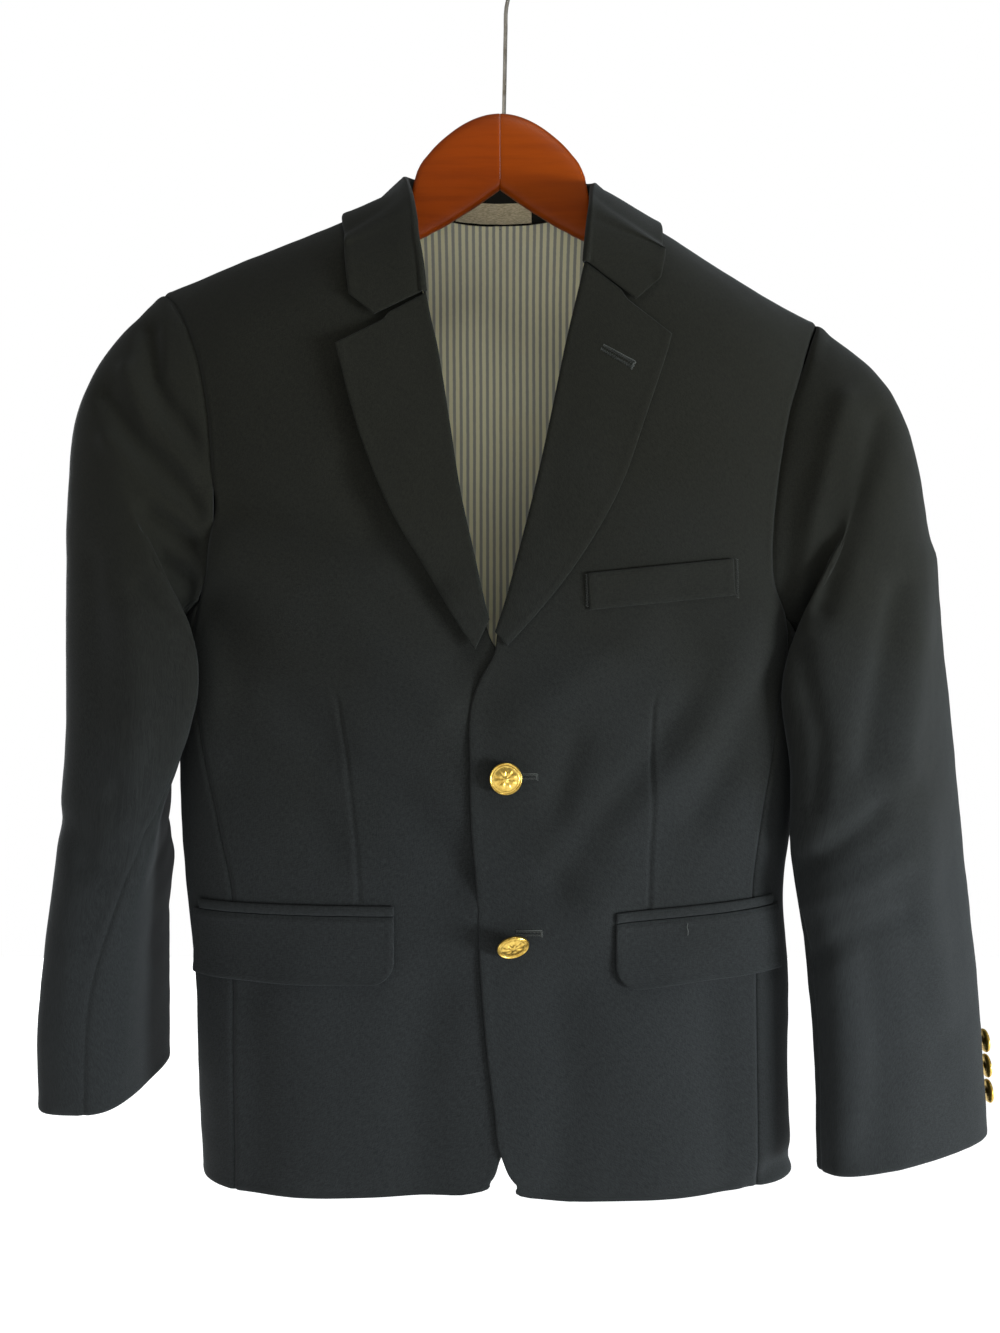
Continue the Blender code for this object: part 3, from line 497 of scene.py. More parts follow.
# Points moved out where they are nearer to the body than the least distance.
def lifted(place, least):
    way, steepness = outward(place)
    away = bodySide(*np.moveaxis(place, -1, 0)) / steepness
    short = np.where(np.asarray(least) > 0, np.maximum(0, least - away), 0)
    return place + way * short[..., None]


# Shares from 0 to 1 that crowd together round certain places.
def crowded(count, places=(0, 1), widths=(0.008, 0.008), heights=(7, 7)):
    dense = np.linspace(0, 1, 4001)
    weight = np.ones(dense.shape)
    for place, width, height in zip(places, widths, heights):
        weight += height * np.exp(-(((dense - place) / width) ** 2))
    total = np.concatenate([[0], np.cumsum((weight[1:] + weight[:-1]) / 2)])
    return np.interp(np.linspace(0, total[-1], count), total, dense)


# Rows of a panel over the shoulder's roll, down the chest and down to the hem, and columns of each panel
panelStyle = {"roll": 34, "chest": 33, "waist": 111, "power": 1.35, "front": 164, "back": 88, "flank": 34}
chestEnd = 45.0  # where the chest's rows end on a panel's inner edge
dartShare = {right: 0.50, left: 0.53}
rollShares = 0.003 + 0.997 * np.linspace(0, 1, panelStyle["roll"]) ** panelStyle["power"]
chestShares = np.linspace(0, 1, panelStyle["chest"] + 1)[1:]
waistShares = 1 - (1 - np.linspace(0, 1, panelStyle["waist"] + 1)[1:]) ** panelStyle["power"]


# How far below the shoulder line a row lies, from a start angle round its roll.
def rollDrop(start, share):
    return shoulderRoll * (1 - np.cos(start + (math.pi / 2 - start) * share))


# Where a panel's rows meet an edge that is given from the hem up.
def edgeRows(edge, side, middle, start=0.0):
    across, height = edge
    dense = np.linspace(height[-1], height[0], 800)
    below = shoulderHeight(side * smooth(dense, height, across)) - dense
    top = np.interp(rollDrop(start, rollShares), np.maximum.accumulate(below), dense)
    chest = top[-1] + (middle - top[-1]) * chestShares
    waist = middle + (height[0] - middle) * waistShares
    heights = np.concatenate([top, chest, waist])
    return smooth(heights, height, across), heights


# The side panel's seam and then the armhole, as one edge from the hem up.
def seamEdge(side, column):
    low, high = sideSeams[side], armhole[side]
    upper = high["height"] > low["height"][-1]
    across = np.concatenate([low[column], high[column][upper]])
    return across, np.concatenate([low["height"], high["height"][upper]])


def outerRows(side, column):
    return edgeRows(seamEdge(side, column), side, sideSeams[side]["height"][-1])


# Places (x, z) of a front or a back between its inner and outer edges.
def panelPlaces(side, inner, outer, shares, starts):
    x = side * (inner[0][:, None] + (outer[0] - inner[0])[:, None] * shares)
    rolled = len(rollShares)
    z = np.empty(x.shape)
    z[:rolled] = shoulderHeight(x[:rolled]) - rollDrop(starts, rollShares[:, None])
    low = []
    for edge in (inner, outer):
        heights = edge[1]
        low.append((heights[rolled:] - heights[rolled - 1]) / (heights[-1] - heights[rolled - 1]))
    down = low[0][:, None] + (low[1] - low[0])[:, None] * shares
    hem = inner[1][-1] + (outer[1][-1] - inner[1][-1]) * shares
    z[rolled:] = z[rolled - 1] + (hem - z[rolled - 1]) * down
    return x, z


def frontPlaces(side):
    edge = frontEdge[side]
    columns = panelStyle["front"]
    inner = edgeRows((edge["across"], edge["height"]), side, chestEnd)
    across, height = outerRows(side, "front")
    shares = crowded(columns, (0, 1, dartShare[side]), (0.008, 0.008, 0.045), (7, 7, 3))
    return panelPlaces(side, inner, (across, height), shares, np.zeros(columns))


# The back's top edge is the neck seam, and then the shoulder seam.
def backPlaces(side, least=0.0):
    shares = crowded(panelStyle["back"])
    across, height = outerRows(side, "back")
    top = side * shares * across[0]
    neck = smooth(np.abs(top), backNeck["across"], backNeck["height"])
    below = np.where(np.abs(top) < backNeck["across"][-1], shoulderHeight(top) - neck, 0)
    starts = np.maximum(np.arccos(1 - np.maximum(below, 0) / shoulderRoll), least)
    levels = np.array((backHem, backNeck["height"][0]))
    inner = edgeRows((np.zeros(2), levels), side, chestEnd, starts[0])
    return panelPlaces(side, inner, (across, height), shares, starts)


# How far round the side a seam lies, 0 at the very side.
def flankShare(side, across, z):
    rest = 1 - (across / halfWidth(np.full(np.shape(z), float(side)), z)) ** roundness
    return np.clip(rest, 0, 1) ** (1 / roundness)


# Shares and heights of a side panel, from the armhole's underside to the hem.
def flankPlaces(side):
    columns = panelStyle["flank"]
    shares = crowded(columns, (0, 1), (0.03, 0.03), (4, 4))
    rows = slice(len(rollShares) + len(chestShares) - 1, None)
    seams = []
    for column in ("front", "back"):
        across, height = outerRows(side, column)
        seams.append((flankShare(side, across[rows], height[rows]), height[rows]))
    (ahead, heights), (behind, _) = seams
    turn = ahead[:, None] + (-behind - ahead)[:, None] * shares
    low = armhole[side]["height"][:4]
    top = np.empty(columns)
    for column, way in (("front", 1), ("back", -1)):
        known = flankShare(side, armhole[side][column][:4], low)
        use = turn[0] * way >= 0
        top[use] = np.interp(np.abs(turn[0][use]), known, low)
    down = (heights - heights[0]) / (heights[-1] - heights[0])
    z = top + (heights[-1] - top) * down[:, None]
    return turn, z


# Places on the body round an armhole, from the shoulder over the front, and their angles.
def armholeLoop(side):
    rows = len(rollShares) + len(chestShares)
    seams = {}
    for column, face in (("front", -1), ("back", 1)):
        across, height = outerRows(side, column)
        seams[column] = onBody(side * across[:rows], height[:rows], face)
    turn, z = flankPlaces(side)
    under = onFlank(side, turn[0], z[0])
    shoulder = (seams["front"][:1] + seams["back"][:1]) / 2
    parts = [shoulder, seams["front"][1:], under[1:-1], seams["back"][:0:-1], shoulder]
    places = np.concatenate(parts)
    heights = places[:, 2]
    middle, reach = (heights.max() + heights.min()) / 2, np.ptp(heights) / 2
    angles = np.arccos(np.clip((heights - middle) / reach, -1, 1))
    lowest = int(np.argmin(heights))
    angles[lowest + 1 :] = 2 * math.pi - angles[lowest + 1 :]
    return places, angles


sleeveForm = {
    "rows": 134,
    "sharpness": {right: (0.86, 0.55), left: (0.86, 0.8)},  # 1 for an ellipse, at both ends
    "clear": 3.5,  # how far the sleeves hang from the body
    "leave": 0.3,  # share of the sleeve over which it leaves the armhole's own shape
    "frontSeam": (152, 98),  # degrees round from the outer side, at the armhole and the cuff
    "backSeam": (292, 270),
}


# The columns of the armhole loop where the sleeve's two seams start.
def sleeveSeams(side):
    angles = np.degrees(armholeLoop(side)[1])
    starts = (sleeveForm["frontSeam"][0], sleeveForm["backSeam"][0])
    return [int(np.argmin(np.abs(angles - start))) for start in starts]


# Angles round the sleeve for each column of the armhole loop, seams straight to the cuff.
def sleeveAngles(side, along):
    start = armholeLoop(side)[1]
    ahead, behind = sleeveSeams(side)
    last = len(start) - 1
    knots = (0, ahead, behind, last)
    values = (0, sleeveForm["frontSeam"][1], sleeveForm["backSeam"][1], 360)
    even = np.radians(np.interp(np.arange(last + 1), knots, values))
    return start + (even - start) * fade(along, 0.25, 0.9)[..., None]


# Points of a sleeve: angles and along are grids, start the places at the armhole.
def sleevePlace(side, angles, along, start):
    rows = sleeve[side]
    known = np.linspace(0, 1, len(rows["wide"]))
    size = {name: smooth(along, known, values) for name, values in rows.items()}
    turn = np.radians(size["turn"])
    atTop, atCuff = sleeveForm["sharpness"][side]
    sharp = atTop + (atCuff - atTop) * along
    ahead = np.sign(np.sin(angles)) * np.abs(np.sin(angles)) ** sharp
    out = np.sign(np.cos(angles)) * np.abs(np.cos(angles)) ** sharp
    x = size["across"] + size["wide"] * np.cos(turn) * out - size["deep"] * np.sin(turn) * ahead
    x = x - size["bend"] * np.maximum(0, ahead) ** 3
    y = size["depth"] - size["wide"] * np.sin(turn) * out - size["deep"] * np.cos(turn) * ahead
    z = size["height"] + size["rise"] * out
    own = points(side * x, y, z)
    head = (1 - np.clip(along / sleeveForm["leave"], 0, 1))[..., None] ** 2
    inside = fade(along, 0.03, 0.15) * fade(-np.cos(angles), -0.2, 0.3)
    return lifted(own + (start - own) * head, sleeveForm["clear"] * inside)


# Each value with a share of its neighbours.
def softened(values):
    return np.convolve(np.pad(values, 1, mode="edge"), (0.25, 0.5, 0.25), mode="valid")


# Outer and inner points of a whole sleeve, rows down and columns round it.
def sleeveGrid(side):
    start, _ = armholeLoop(side)
    rows = crowded(sleeveForm["rows"], (0, 1), (0.006, 0.005), (5, 6))
    along = np.repeat(rows[:, None], len(start), axis=1)
    place = sleevePlace(side, sleeveAngles(side, rows), along, start)
    lower = np.concatenate([place[1:], place[-1:]])
    upper = np.concatenate([place[:1], place[:-1]])
    roundWay = np.roll(place[:, :-1], -1, 1) - np.roll(place[:, :-1], 1, 1)
    roundWay = np.concatenate([roundWay, roundWay[:, :1]], axis=1)
    way = unit(np.cross(roundWay, lower - upper)) * side
    out = outward(start)[0]
    share = fade(np.sum(way[0] * out, axis=-1), -0.2, 0.6)[:, None]
    way[0] = unit(way[0] * (1 - share) + out * share)
    way = unit(np.apply_along_axis(softened, 1, way))
    return place, way


neckTurn = 0.06  # how slowly the neck seam starts down from the shoulder


# The neck seam: shares 0 to 0.5 go round the back, and 0.5 to 1 down to the gorge.
def neckSeam(side, share):
    behind = share <= 0.5
    across = backNeck["across"][-1] * share * 2
    height = smooth(across, backNeck["across"], backNeck["height"])
    rear = onBody(side * across, np.minimum(height, shoulderHeight(side * across) - 0.01), 1)
    edge = frontEdge[side]
    gorge = collar[side]["foldHeight"][-1]
    past = np.maximum(0, share * 2 - 1)
    gone = past * (1 + neckTurn) * past / (past + neckTurn)
    down = backNeck["height"][-1] + (gorge - backNeck["height"][-1]) * gone
    fore = onBody(side * smooth(down, edge["height"], edge["across"]), down, -1)
    return np.where(behind[:, None], rear, fore)


# The collar's fold or its outer edge, as named in the table.
def collarLine(side, share, name):
    rows = collar[side]
    x, y, z = (smooth(share, rows["share"], rows[name + way]) for way in ("Across", "Depth", "Height"))
    return points(side * x, y, z)


collarForm = {
    "roll": 1.5,
    "half": 0.7,
    "clear": 2.9,  # how far the middle of the fall stays from the body
    "stand": 3.2,  # how high the fold stands where the stand runs out at the gorge seams
    "gap": 0.9,  # from the neck seam's line to the middle of the collar's foot
    "notchDip": {right: 12.0, left: 16.0},  # how far the notch lies below the collar's end line
    "notchAt": 0.65,
    "standRows": 10,
    "rollRows": 13,
}
lastShares = (0.976, 0.981, 0.984, 0.985)
collarShares = np.concatenate([np.linspace(0, 0.44, 34), np.linspace(0.45, 0.97, 56), lastShares])


# Both faces of the collar from the middle of the back to a gorge seam.
def collarHalf(side):
    share = collarShares
    roll, half, stand = (collarForm[name] for name in ("roll", "half", "stand"))
    notch = collarForm["notchAt"]
    sewn = neckSeam(side, share)
    turn = collarLine(side, share, "fold")
    edge = collarLine(side, share, "edge")
    normal = outward(sewn)[0]
    inward = unit(np.cross(np.gradient(sewn, axis=0), normal)) * side
    foot = sewn - normal * clothThickness / 2 + inward * collarForm["gap"]
    tall = np.linalg.norm(turn - foot, axis=-1, keepdims=True)
    low = fade(tall, 2 * stand, stand)
    up = unit(unit(turn - foot) * (1 - low) + unit(normal + inward * 0.3) * low)
    turn = foot + up * np.maximum(tall, stand)
    over = unit(np.cross(up, unit(np.gradient(turn, axis=0)))) * side
    centre = turn + over * roll - up * roll
    start = centre + over * roll
    fall = unit(edge - start)
    rise, reach = (np.sum(fall * way, axis=-1, keepdims=True) for way in (up, over))
    outside = unit(up * reach - over * rise)
    grids = []
    for face in (1, -1):
        thick = over * half * face
        top = centre - over * roll
        parts = np.linspace(0, 1, collarForm["standRows"])[:-1]
        lines = [foot + (top - foot) * part - thick for part in parts]
        for angle in np.radians(np.linspace(0, 180, collarForm["rollRows"])):
            rim = up * math.sin(angle) - over * math.cos(angle)
            lines.append(centre + rim * (roll + half * face))
        for part in np.concatenate([np.linspace(0.05, notch, 20), np.linspace(notch, 1, 18)[1:]]):
            line = start + (edge - start) * part
            dip = part / notch if part <= notch else (1 - part) / (1 - notch)
            line[:, 2] -= collarForm["notchDip"][side] * dip * fade(share, 0.86, 1.0)
            lines.append(lifted(line, collarForm["clear"]) + outside * half * face)
        grids.append(np.stack(lines, axis=1))
    return grids


# The upper edge of a hanger arm, under the shoulder beyond the neck.
def topOfArm(side, x):
    near = smooth(x, armTop["across"], armTop["height"])
    far = shoulderHeight(side * x) - clothThickness - armClear
    return np.where(x > armTop["across"][-1], np.minimum(near, far), near)


# A socket that takes part in sums: each operator on it adds one Math node.
class Flow:
    def __init__(self, finish, socket):
        self.finish = finish
        self.socket = socket

    def sum(self, operation, *others):
        inputs = dict(enumerate((self, *others)))
        return self.finish.add("ShaderNodeMath", {"operation": operation}, inputs)

    def __add__(self, other):
        return self.sum("ADD", other)

    def __sub__(self, other):
        return self.sum("SUBTRACT", other)

    def __mul__(self, other):
        return self.sum("MULTIPLY", other)

    def __rsub__(self, other):
        return (self * -1.0) + other

    __radd__ = __add__
    __rmul__ = __mul__

    def step(self, low, high):
        settings = {"interpolation_type": "SMOOTHSTEP"}
        inputs = {"Value": self, "From Min": low, "From Max": high}
        return self.finish.add("ShaderNodeMapRange", settings, inputs)


# One material. add() makes any node from its type, its settings and the values or links of its sockets.
class Finish:
    def __init__(self, name):
        self.material = bpy.data.materials.new(name)
        self.material.use_nodes = True
        self.tree = self.material.node_tree
        self.shader = self.tree.nodes["Principled BSDF"]

    def add(self, kind, settings=None, inputs=None, out=0):
        node = self.tree.nodes.new(kind)
        for key, value in (settings or {}).items():
            setattr(node, key, value)
        for key, value in (inputs or {}).items():
            self.feed(node.inputs[key], value)
        return Flow(self, node.outputs[out])

    def feed(self, socket, value):
        if isinstance(value, Flow):
            self.tree.links.new(value.socket, socket)
        else:
            socket.default_value = value

    def set(self, **values):
        for key, value in values.items():
            self.feed(self.shader.inputs[key.replace("_", " ")], value)

    def mix(self, factor, first, second):
        settings = {"data_type": "RGBA"}
        return self.add("ShaderNodeMix", settings, {0: factor, 6: first, 7: second}, 2)

    def scaled(self, coordinates, scale):
        inputs = {0: coordinates, 1: scale}
        return self.add("ShaderNodeVectorMath", {"operation": "MULTIPLY"}, inputs)

    def noise(self, coordinates, scale, detail=2.0, roughness=0.5):
        inputs = {"Vector": coordinates, "Scale": scale, "Detail": detail, "Roughness": roughness}
        return self.add("ShaderNodeTexNoise", None, inputs)

    def bump(self, height, strength, distance):
        inputs = {"Height": height, "Strength": strength, "Distance": distance}
        self.set(Normal=self.add("ShaderNodeBump", None, inputs))


def rgb(red, green, blue):
    return (red, green, blue, 1.0)


# Dark wool blend: fine warp and weft and fibre, with painted shade and light: darker and warmer high up,
# lighter and bluer low down, the change broken by faint clouds.
woolLook = {
    # Painted shade high up and painted light low down: the dark and pale weave tones of the upper wool are
    # darker and warmer, those of the lower wool lighter and bluer
    "paintedShadeTopDark": (0.0062, 0.0065, 0.0042),
    "paintedShadeTopPale": (0.0150, 0.0156, 0.0106),
    "paintedLightFootDark": (0.0112, 0.0130, 0.0136),
    "paintedLightFootPale": (0.0250, 0.0285, 0.0295),
    # Heights in metres: painted shade above high, painted light below low, blended between
    "high": -0.30,
    "low": -0.64,
}
paintedLightWoolColours = ("paintedShadeTopDark", "paintedShadeTopPale", "paintedLightFootDark", "paintedLightFootPale")


def makeWool(name, tone=1.0):
    wool = Finish(name)
    laidOut = wool.add("ShaderNodeTexCoord", None, None, 2)
    inPlace = wool.add("ShaderNodeTexCoord", None, None, 3)
    level = wool.add("ShaderNodeSeparateXYZ", None, {0: inPlace}, 2)
    warp = wool.noise(wool.scaled(laidOut, (150.0, 38.0, 1.0)), 1.0, 2.0, 0.6)
    weft = wool.noise(wool.scaled(laidOut, (38.0, 150.0, 1.0)), 1.0, 2.0, 0.6)
    fibre = wool.noise(laidOut, 260.0, 2.0, 0.6)
    cloud = wool.noise(inPlace, 13.0, 3.0, 0.55)
    weave = warp * 0.5 + weft * 0.5
    # Mask of the painted light low down against the painted shade high up, its border broken by faint clouds
    lower = (cloud * 0.16 - 0.08 - level).step(-woolLook["high"], -woolLook["low"])
    paintedLightTones = {key: rgb(*(part * tone for part in woolLook[key])) for key in paintedLightWoolColours}
    dark = wool.mix(lower, paintedLightTones["paintedShadeTopDark"], paintedLightTones["paintedLightFootDark"])
    light = wool.mix(lower, paintedLightTones["paintedShadeTopPale"], paintedLightTones["paintedLightFootPale"])
    wool.set(Base_Color=wool.mix((weave + fibre * 0.6 - 0.3).step(0.34, 0.66), dark, light))
    wool.set(Roughness=0.84 + weave * 0.12)
    wool.set(Specular_IOR_Level=0.14, Sheen_Weight=0.06, Sheen_Roughness=0.5)
    wool.set(Sheen_Tint=rgb(0.80, 0.88, 0.95))
    wool.bump(weave + fibre * 0.7, 0.30, 0.0004)
    return wool.material


liningLook = {
    "cream": rgb(0.90, 0.87, 0.58),
    "grey": rgb(0.38, 0.39, 0.33),
    "shade": rgb(0.72, 0.64, 0.36),
    "period": 4.3,
}


def makeLining():
    lining = Finish("stripedLining")
    inPlace = lining.add("ShaderNodeTexCoord", None, None, 3)
    parts = lining.add("ShaderNodeSeparateXYZ", None, {0: inPlace})
    waver = lining.noise(inPlace, 9.0, 2.0, 0.5) * 0.0012
    fine = lining.noise(lining.scaled(inPlace, (900.0, 900.0, 260.0)), 1.0, 2.0, 0.5)
    turn = (parts + waver) * (2 * math.pi / (liningLook["period"] / 1000))
    stripe = turn.sum("SINE") + fine * 0.5 - 0.25
    blotch = lining.noise(inPlace, 22.0, 3.0, 0.6)
    colour = lining.mix(stripe.step(-0.15, 0.55), liningLook["cream"], liningLook["grey"])
    colour = lining.mix(blotch.step(0.5, 0.8) * 0.35, colour, liningLook["shade"])
    lining.set(Base_Color=colour, Roughness=0.42 + fine * 0.2)
    lining.set(Specular_IOR_Level=0.35, Sheen_Weight=0.15)
    lining.bump(fine + stripe * 0.15, 0.15, 0.0003)
    return lining.material


def makeLabel():
    label = Finish("labelSatin")
    inPlace = label.add("ShaderNodeTexCoord", None, None, 3)
    threads = label.noise(label.scaled(inPlace, (500.0, 500.0, 2200.0)), 1.0, 2.0, 0.6)
    soil = label.noise(inPlace, 60.0, 3.0, 0.6)
    colour = label.mix(threads.step(0.35, 0.65), rgb(0.40, 0.36, 0.22), rgb(0.66, 0.60, 0.40))
    colour = label.mix(soil.step(0.5, 0.75) * 0.3, colour, rgb(0.45, 0.41, 0.30))
    label.set(Base_Color=colour, Roughness=0.45 + threads * 0.2)
    label.bump(threads, 0.4, 0.0002)
    return label.material


def makeWood(name, near, far):
    wood = Finish(name)
    inPlace = wood.add("ShaderNodeTexCoord", None, None, 3)
    grain = wood.noise(wood.scaled(inPlace, (9.0, 160.0, 160.0)), 1.0, 4.0, 0.6)
    pores = wood.noise(wood.scaled(inPlace, (60.0, 1400.0, 1400.0)), 1.0, 2.0, 0.6)
    cloud = wood.noise(inPlace, 20.0, 2.0, 0.5)
    colour = wood.mix(grain.step(0.38, 0.66), near, far)
    darker = tuple(c * 0.55 for c in near[:3]) + (1.0,)
    colour = wood.mix(pores.step(0.6, 0.8) * 0.35 + cloud.step(0.5, 0.75) * 0.15, colour, darker)
    wood.set(Base_Color=colour, Roughness=0.30 + pores * 0.18)
    wood.set(Specular_IOR_Level=0.1, Coat_Weight=0.03, Coat_Roughness=0.25)
    wood.bump(grain * 0.4 + pores, 0.12, 0.0003)
    return wood.material


def makeGilt():
    gilt = Finish("giltMetal")
    inPlace = gilt.add("ShaderNodeTexCoord", None, None, 3)
    wear = gilt.noise(inPlace, 420.0, 3.0, 0.6)
    scratches = gilt.noise(gilt.scaled(inPlace, (700.0, 700.0, 4200.0)), 1.0, 2.0, 0.6)
    colour = gilt.mix(wear.step(0.4, 0.7), rgb(0.83, 0.58, 0.14), rgb(0.50, 0.30, 0.05))
    gilt.set(Base_Color=colour, Metallic=1.0, Roughness=0.20 + wear * 0.22)
    gilt.bump(scratches, 0.08, 0.0001)
    return gilt.material


def makeSteel():
    steel = Finish("drawnSteel")
    inPlace = steel.add("ShaderNodeTexCoord", None, None, 3)
    drawn = steel.noise(steel.scaled(inPlace, (2600.0, 2600.0, 130.0)), 1.0, 3.0, 0.6)
    tarnish = steel.noise(inPlace, 70.0, 3.0, 0.6)
    colour = steel.mix(tarnish.step(0.4, 0.75), rgb(0.42, 0.40, 0.36), rgb(0.20, 0.17, 0.13))
    steel.set(Base_Color=colour, Metallic=1.0, Roughness=0.26 + drawn * 0.2)
    steel.bump(drawn, 0.15, 0.0001)
    return steel.material


def makeThread():
    thread = Finish("buttonholeThread")
    inPlace = thread.add("ShaderNodeTexCoord", None, None, 3)
    twist = thread.noise(inPlace, 1800.0, 2.0, 0.6)
    thread.set(Base_Color=thread.mix(twist, rgb(0.035, 0.040, 0.037), rgb(0.105, 0.115, 0.105)))
    thread.set(Roughness=0.6 + twist * 0.2, Sheen_Weight=0.2, Specular_IOR_Level=0.3)
    thread.bump(twist, 0.3, 0.0001)
    return thread.material


woolCloth = makeWool("darkWool", 0.80)
liningCloth = makeLining()
labelCloth = makeLabel()
# One stained wood in two copies: the right arm's is painted darker and redder as painted shade, the left
# arm's lighter as painted light, for the arms' different angles to the light
shadedRightWood = makeWood("stainedWoodRightPaintedShade", rgb(0.235, 0.037, 0.001), rgb(0.195, 0.029, 0.001))
litLeftWood = makeWood("stainedWoodLeftPaintedLight", rgb(0.250, 0.042, 0.001), rgb(0.215, 0.034, 0.001))
gilt = makeGilt()
steel = makeSteel()
thread = makeThread()
print("finishes made")

made = {}


# An object from points in millimetres above chest level, with the cloth's own lengths as its UV map.
def makeObject(name, places, faces, look, uv=None, girth=None):
    mesh = bpy.data.meshes.new(name)
    places = (places + np.array((0, 0, chestLevel))) / 1000
    mesh.from_pydata(places.tolist(), [], faces)
    if uv is not None:
        corners = np.empty(len(mesh.loops), np.int32)
        mesh.loops.foreach_get("vertex_index", corners)
        flat = uv[corners]
        if girth is not None:
            across = flat[:, 0].reshape(-1, 4)
            whole = girth[corners].reshape(-1, 4)
            joins = (np.ptp(across, axis=1) > whole[:, 0] / 2)[:, None] & (across < whole / 2)
            flat[:, 0] += (joins * whole).ravel()
        layer = mesh.uv_layers.new(name="cloth")
        layer.data.foreach_set("uv", (flat / 100).ravel())
    mesh.shade_smooth()
    mesh.materials.append(look)
    mesh.update()
    made[name] = bpy.data.objects.new(name, mesh)
    bpy.context.scene.collection.objects.link(made[name])


# How far along the cloth each point of a grid lies, across it and down it.
def lengths(place):
    across = np.linalg.norm(np.diff(place, axis=1), axis=-1)
    down = np.linalg.norm(np.diff(place, axis=0), axis=-1)
    u = np.concatenate([np.zeros((place.shape[0], 1)), np.cumsum(across, axis=1)], axis=1)
    v = np.concatenate([np.zeros((1, place.shape[1])), np.cumsum(down, axis=0)], axis=0)
    return u, v


# A closed wall between two grids. Round a tube the last column joins the first.
def wallFaces(rows, columns, tube=False):
    back = rows * columns
    a = np.arange(rows - 1)[:, None] * columns + np.arange(columns if tube else columns - 1)
    b = a + 1
    if tube:
        b = b.copy()
        b[:, -1] -= columns
    outer = np.stack([a, b, b + columns, a + columns], axis=-1).reshape(-1, 4)
    faces = [outer, outer[:, ::-1] + back]
    top = np.arange(columns)
    bottom = top + (rows - 1) * columns
    if tube:
        borders = [(top, np.roll(top, -1)), (np.roll(bottom, -1), bottom)]
    else:
        sides = np.arange(rows) * columns
        far = sides + columns - 1
        borders = [(top[:-1], top[1:]), (far[:-1], far[1:])]
        borders += [(bottom[1:], bottom[:-1]), (sides[1:], sides[:-1])]
    for here, there in borders:
        faces.append(np.stack([there, here, here + back, there + back], axis=-1))
    return np.concatenate(faces).tolist()


def wall(name, outer, inner, look, tube=False):
    rows, columns = outer.shape[:2]
    places = np.concatenate([outer.reshape(-1, 3), inner.reshape(-1, 3)])
    faces = facedOut(places, wallFaces(rows, columns, tube))
    middle = (outer + inner) / 2
    closed = np.concatenate([middle, middle[:, :1]], axis=1) if tube else middle
    u, v = lengths(closed)
    girth = np.tile(np.repeat(u[:, -1], columns), 2) if tube else None
    uv = np.stack([u[:, :columns], v[:, :columns]], axis=-1).reshape(-1, 2)
    makeObject(name, places, faces, look, np.concatenate([uv, uv]), girth)


# Turns all faces round where they look inward.
def facedOut(places, faces):
    quads = np.array([face for face in faces if len(face) == 4])
    a, b, c, d = (places[quads[:, k]] - places[0] for k in range(4))
    volume = np.sum(a * np.cross(b, c)) + np.sum(a * np.cross(c, d))
    return faces if volume > 0 else [face[::-1] for face in faces]


# The faces of a solid whose sections are rings of points, with a flat face at each end.
def ringedSolid(name, grid, look):
    rows, around = grid.shape[:2]
    a = np.arange(rows - 1)[:, None] * around + np.arange(around)
    b = np.roll(a, -1, axis=1)
    faces = np.stack([a, b, b + around, a + around], axis=-1).reshape(-1, 4).tolist()
    faces += [list(range(around))[::-1], list(range((rows - 1) * around, rows * around))]
    places = grid.reshape(-1, 3)
    makeObject(name, places, facedOut(places, faces), look)


# How the borders of a piece are finished: pressed into a seam, or turned and rounded.
edgeStyle = {
    "dip": 0.75,
    "dipWidth": 1.3,
    "ridge": 0.22,
    "ridgeAt": 3.2,
    "ridgeWidth": 1.5,
    "swell": 0.22,
    "swellAt": 3.0,
    "swellWidth": 2.0,
    "rim": 1.1,
}


# A soft ridge at one distance.
def ridge(away, at, width):
    return np.exp(-(((away - at) / width) ** 2))


# The share of its thickness that a wall has near a turned edge.
def turned(away, rim, most=0.97):
    return np.sqrt(1 - np.clip(1 - away / rim, 0, most) ** 2)


def edged(place, kinds):
    u, v = lengths(place)
    away = {"near": u, "far": u[:, -1:] - u, "top": v, "bottom": v[-1:] - v}
    lift, thick = np.zeros(u.shape), np.ones(u.shape)
    for where, kind in kinds.items():
        d = away[where]
        if kind == "seam":
            lift = lift - edgeStyle["dip"] * np.exp(-((d / edgeStyle["dipWidth"]) ** 1.5))
            lift = lift + edgeStyle["ridge"] * ridge(d, edgeStyle["ridgeAt"], edgeStyle["ridgeWidth"])
        else:
            thick = thick * turned(d, edgeStyle["rim"])
            lift = lift + edgeStyle["swell"] * ridge(d, edgeStyle["swellAt"], edgeStyle["swellWidth"])
    return lift, thick


# Shallow waves that no straight rule would follow, the same on every run.
def uneven(place, size, amount, seed):
    chance = np.random.default_rng(seed)
    total = np.zeros(place.shape[:-1])
    for _ in range(9):
        way = chance.normal(size=3)
        way *= 2 * math.pi / size * chance.uniform(0.6, 1.5) / np.linalg.norm(way)
        total += np.sin(place @ way + chance.uniform(0, 2 * math.pi))
    return amount * total / 3


# Where points show in the photograph, or in one taken from behind that is turned over.
def seen(place, face=-1):
    away = cameraPlace["distance"] - face * place[..., 1]
    scale = cameraPlace["perPixel"] * away / cameraPlace["frontPlane"]
    return cameraPlace["wide"] / 2 + place[..., 0] / scale, cameraPlace["tall"] / 2 - place[..., 2] / scale


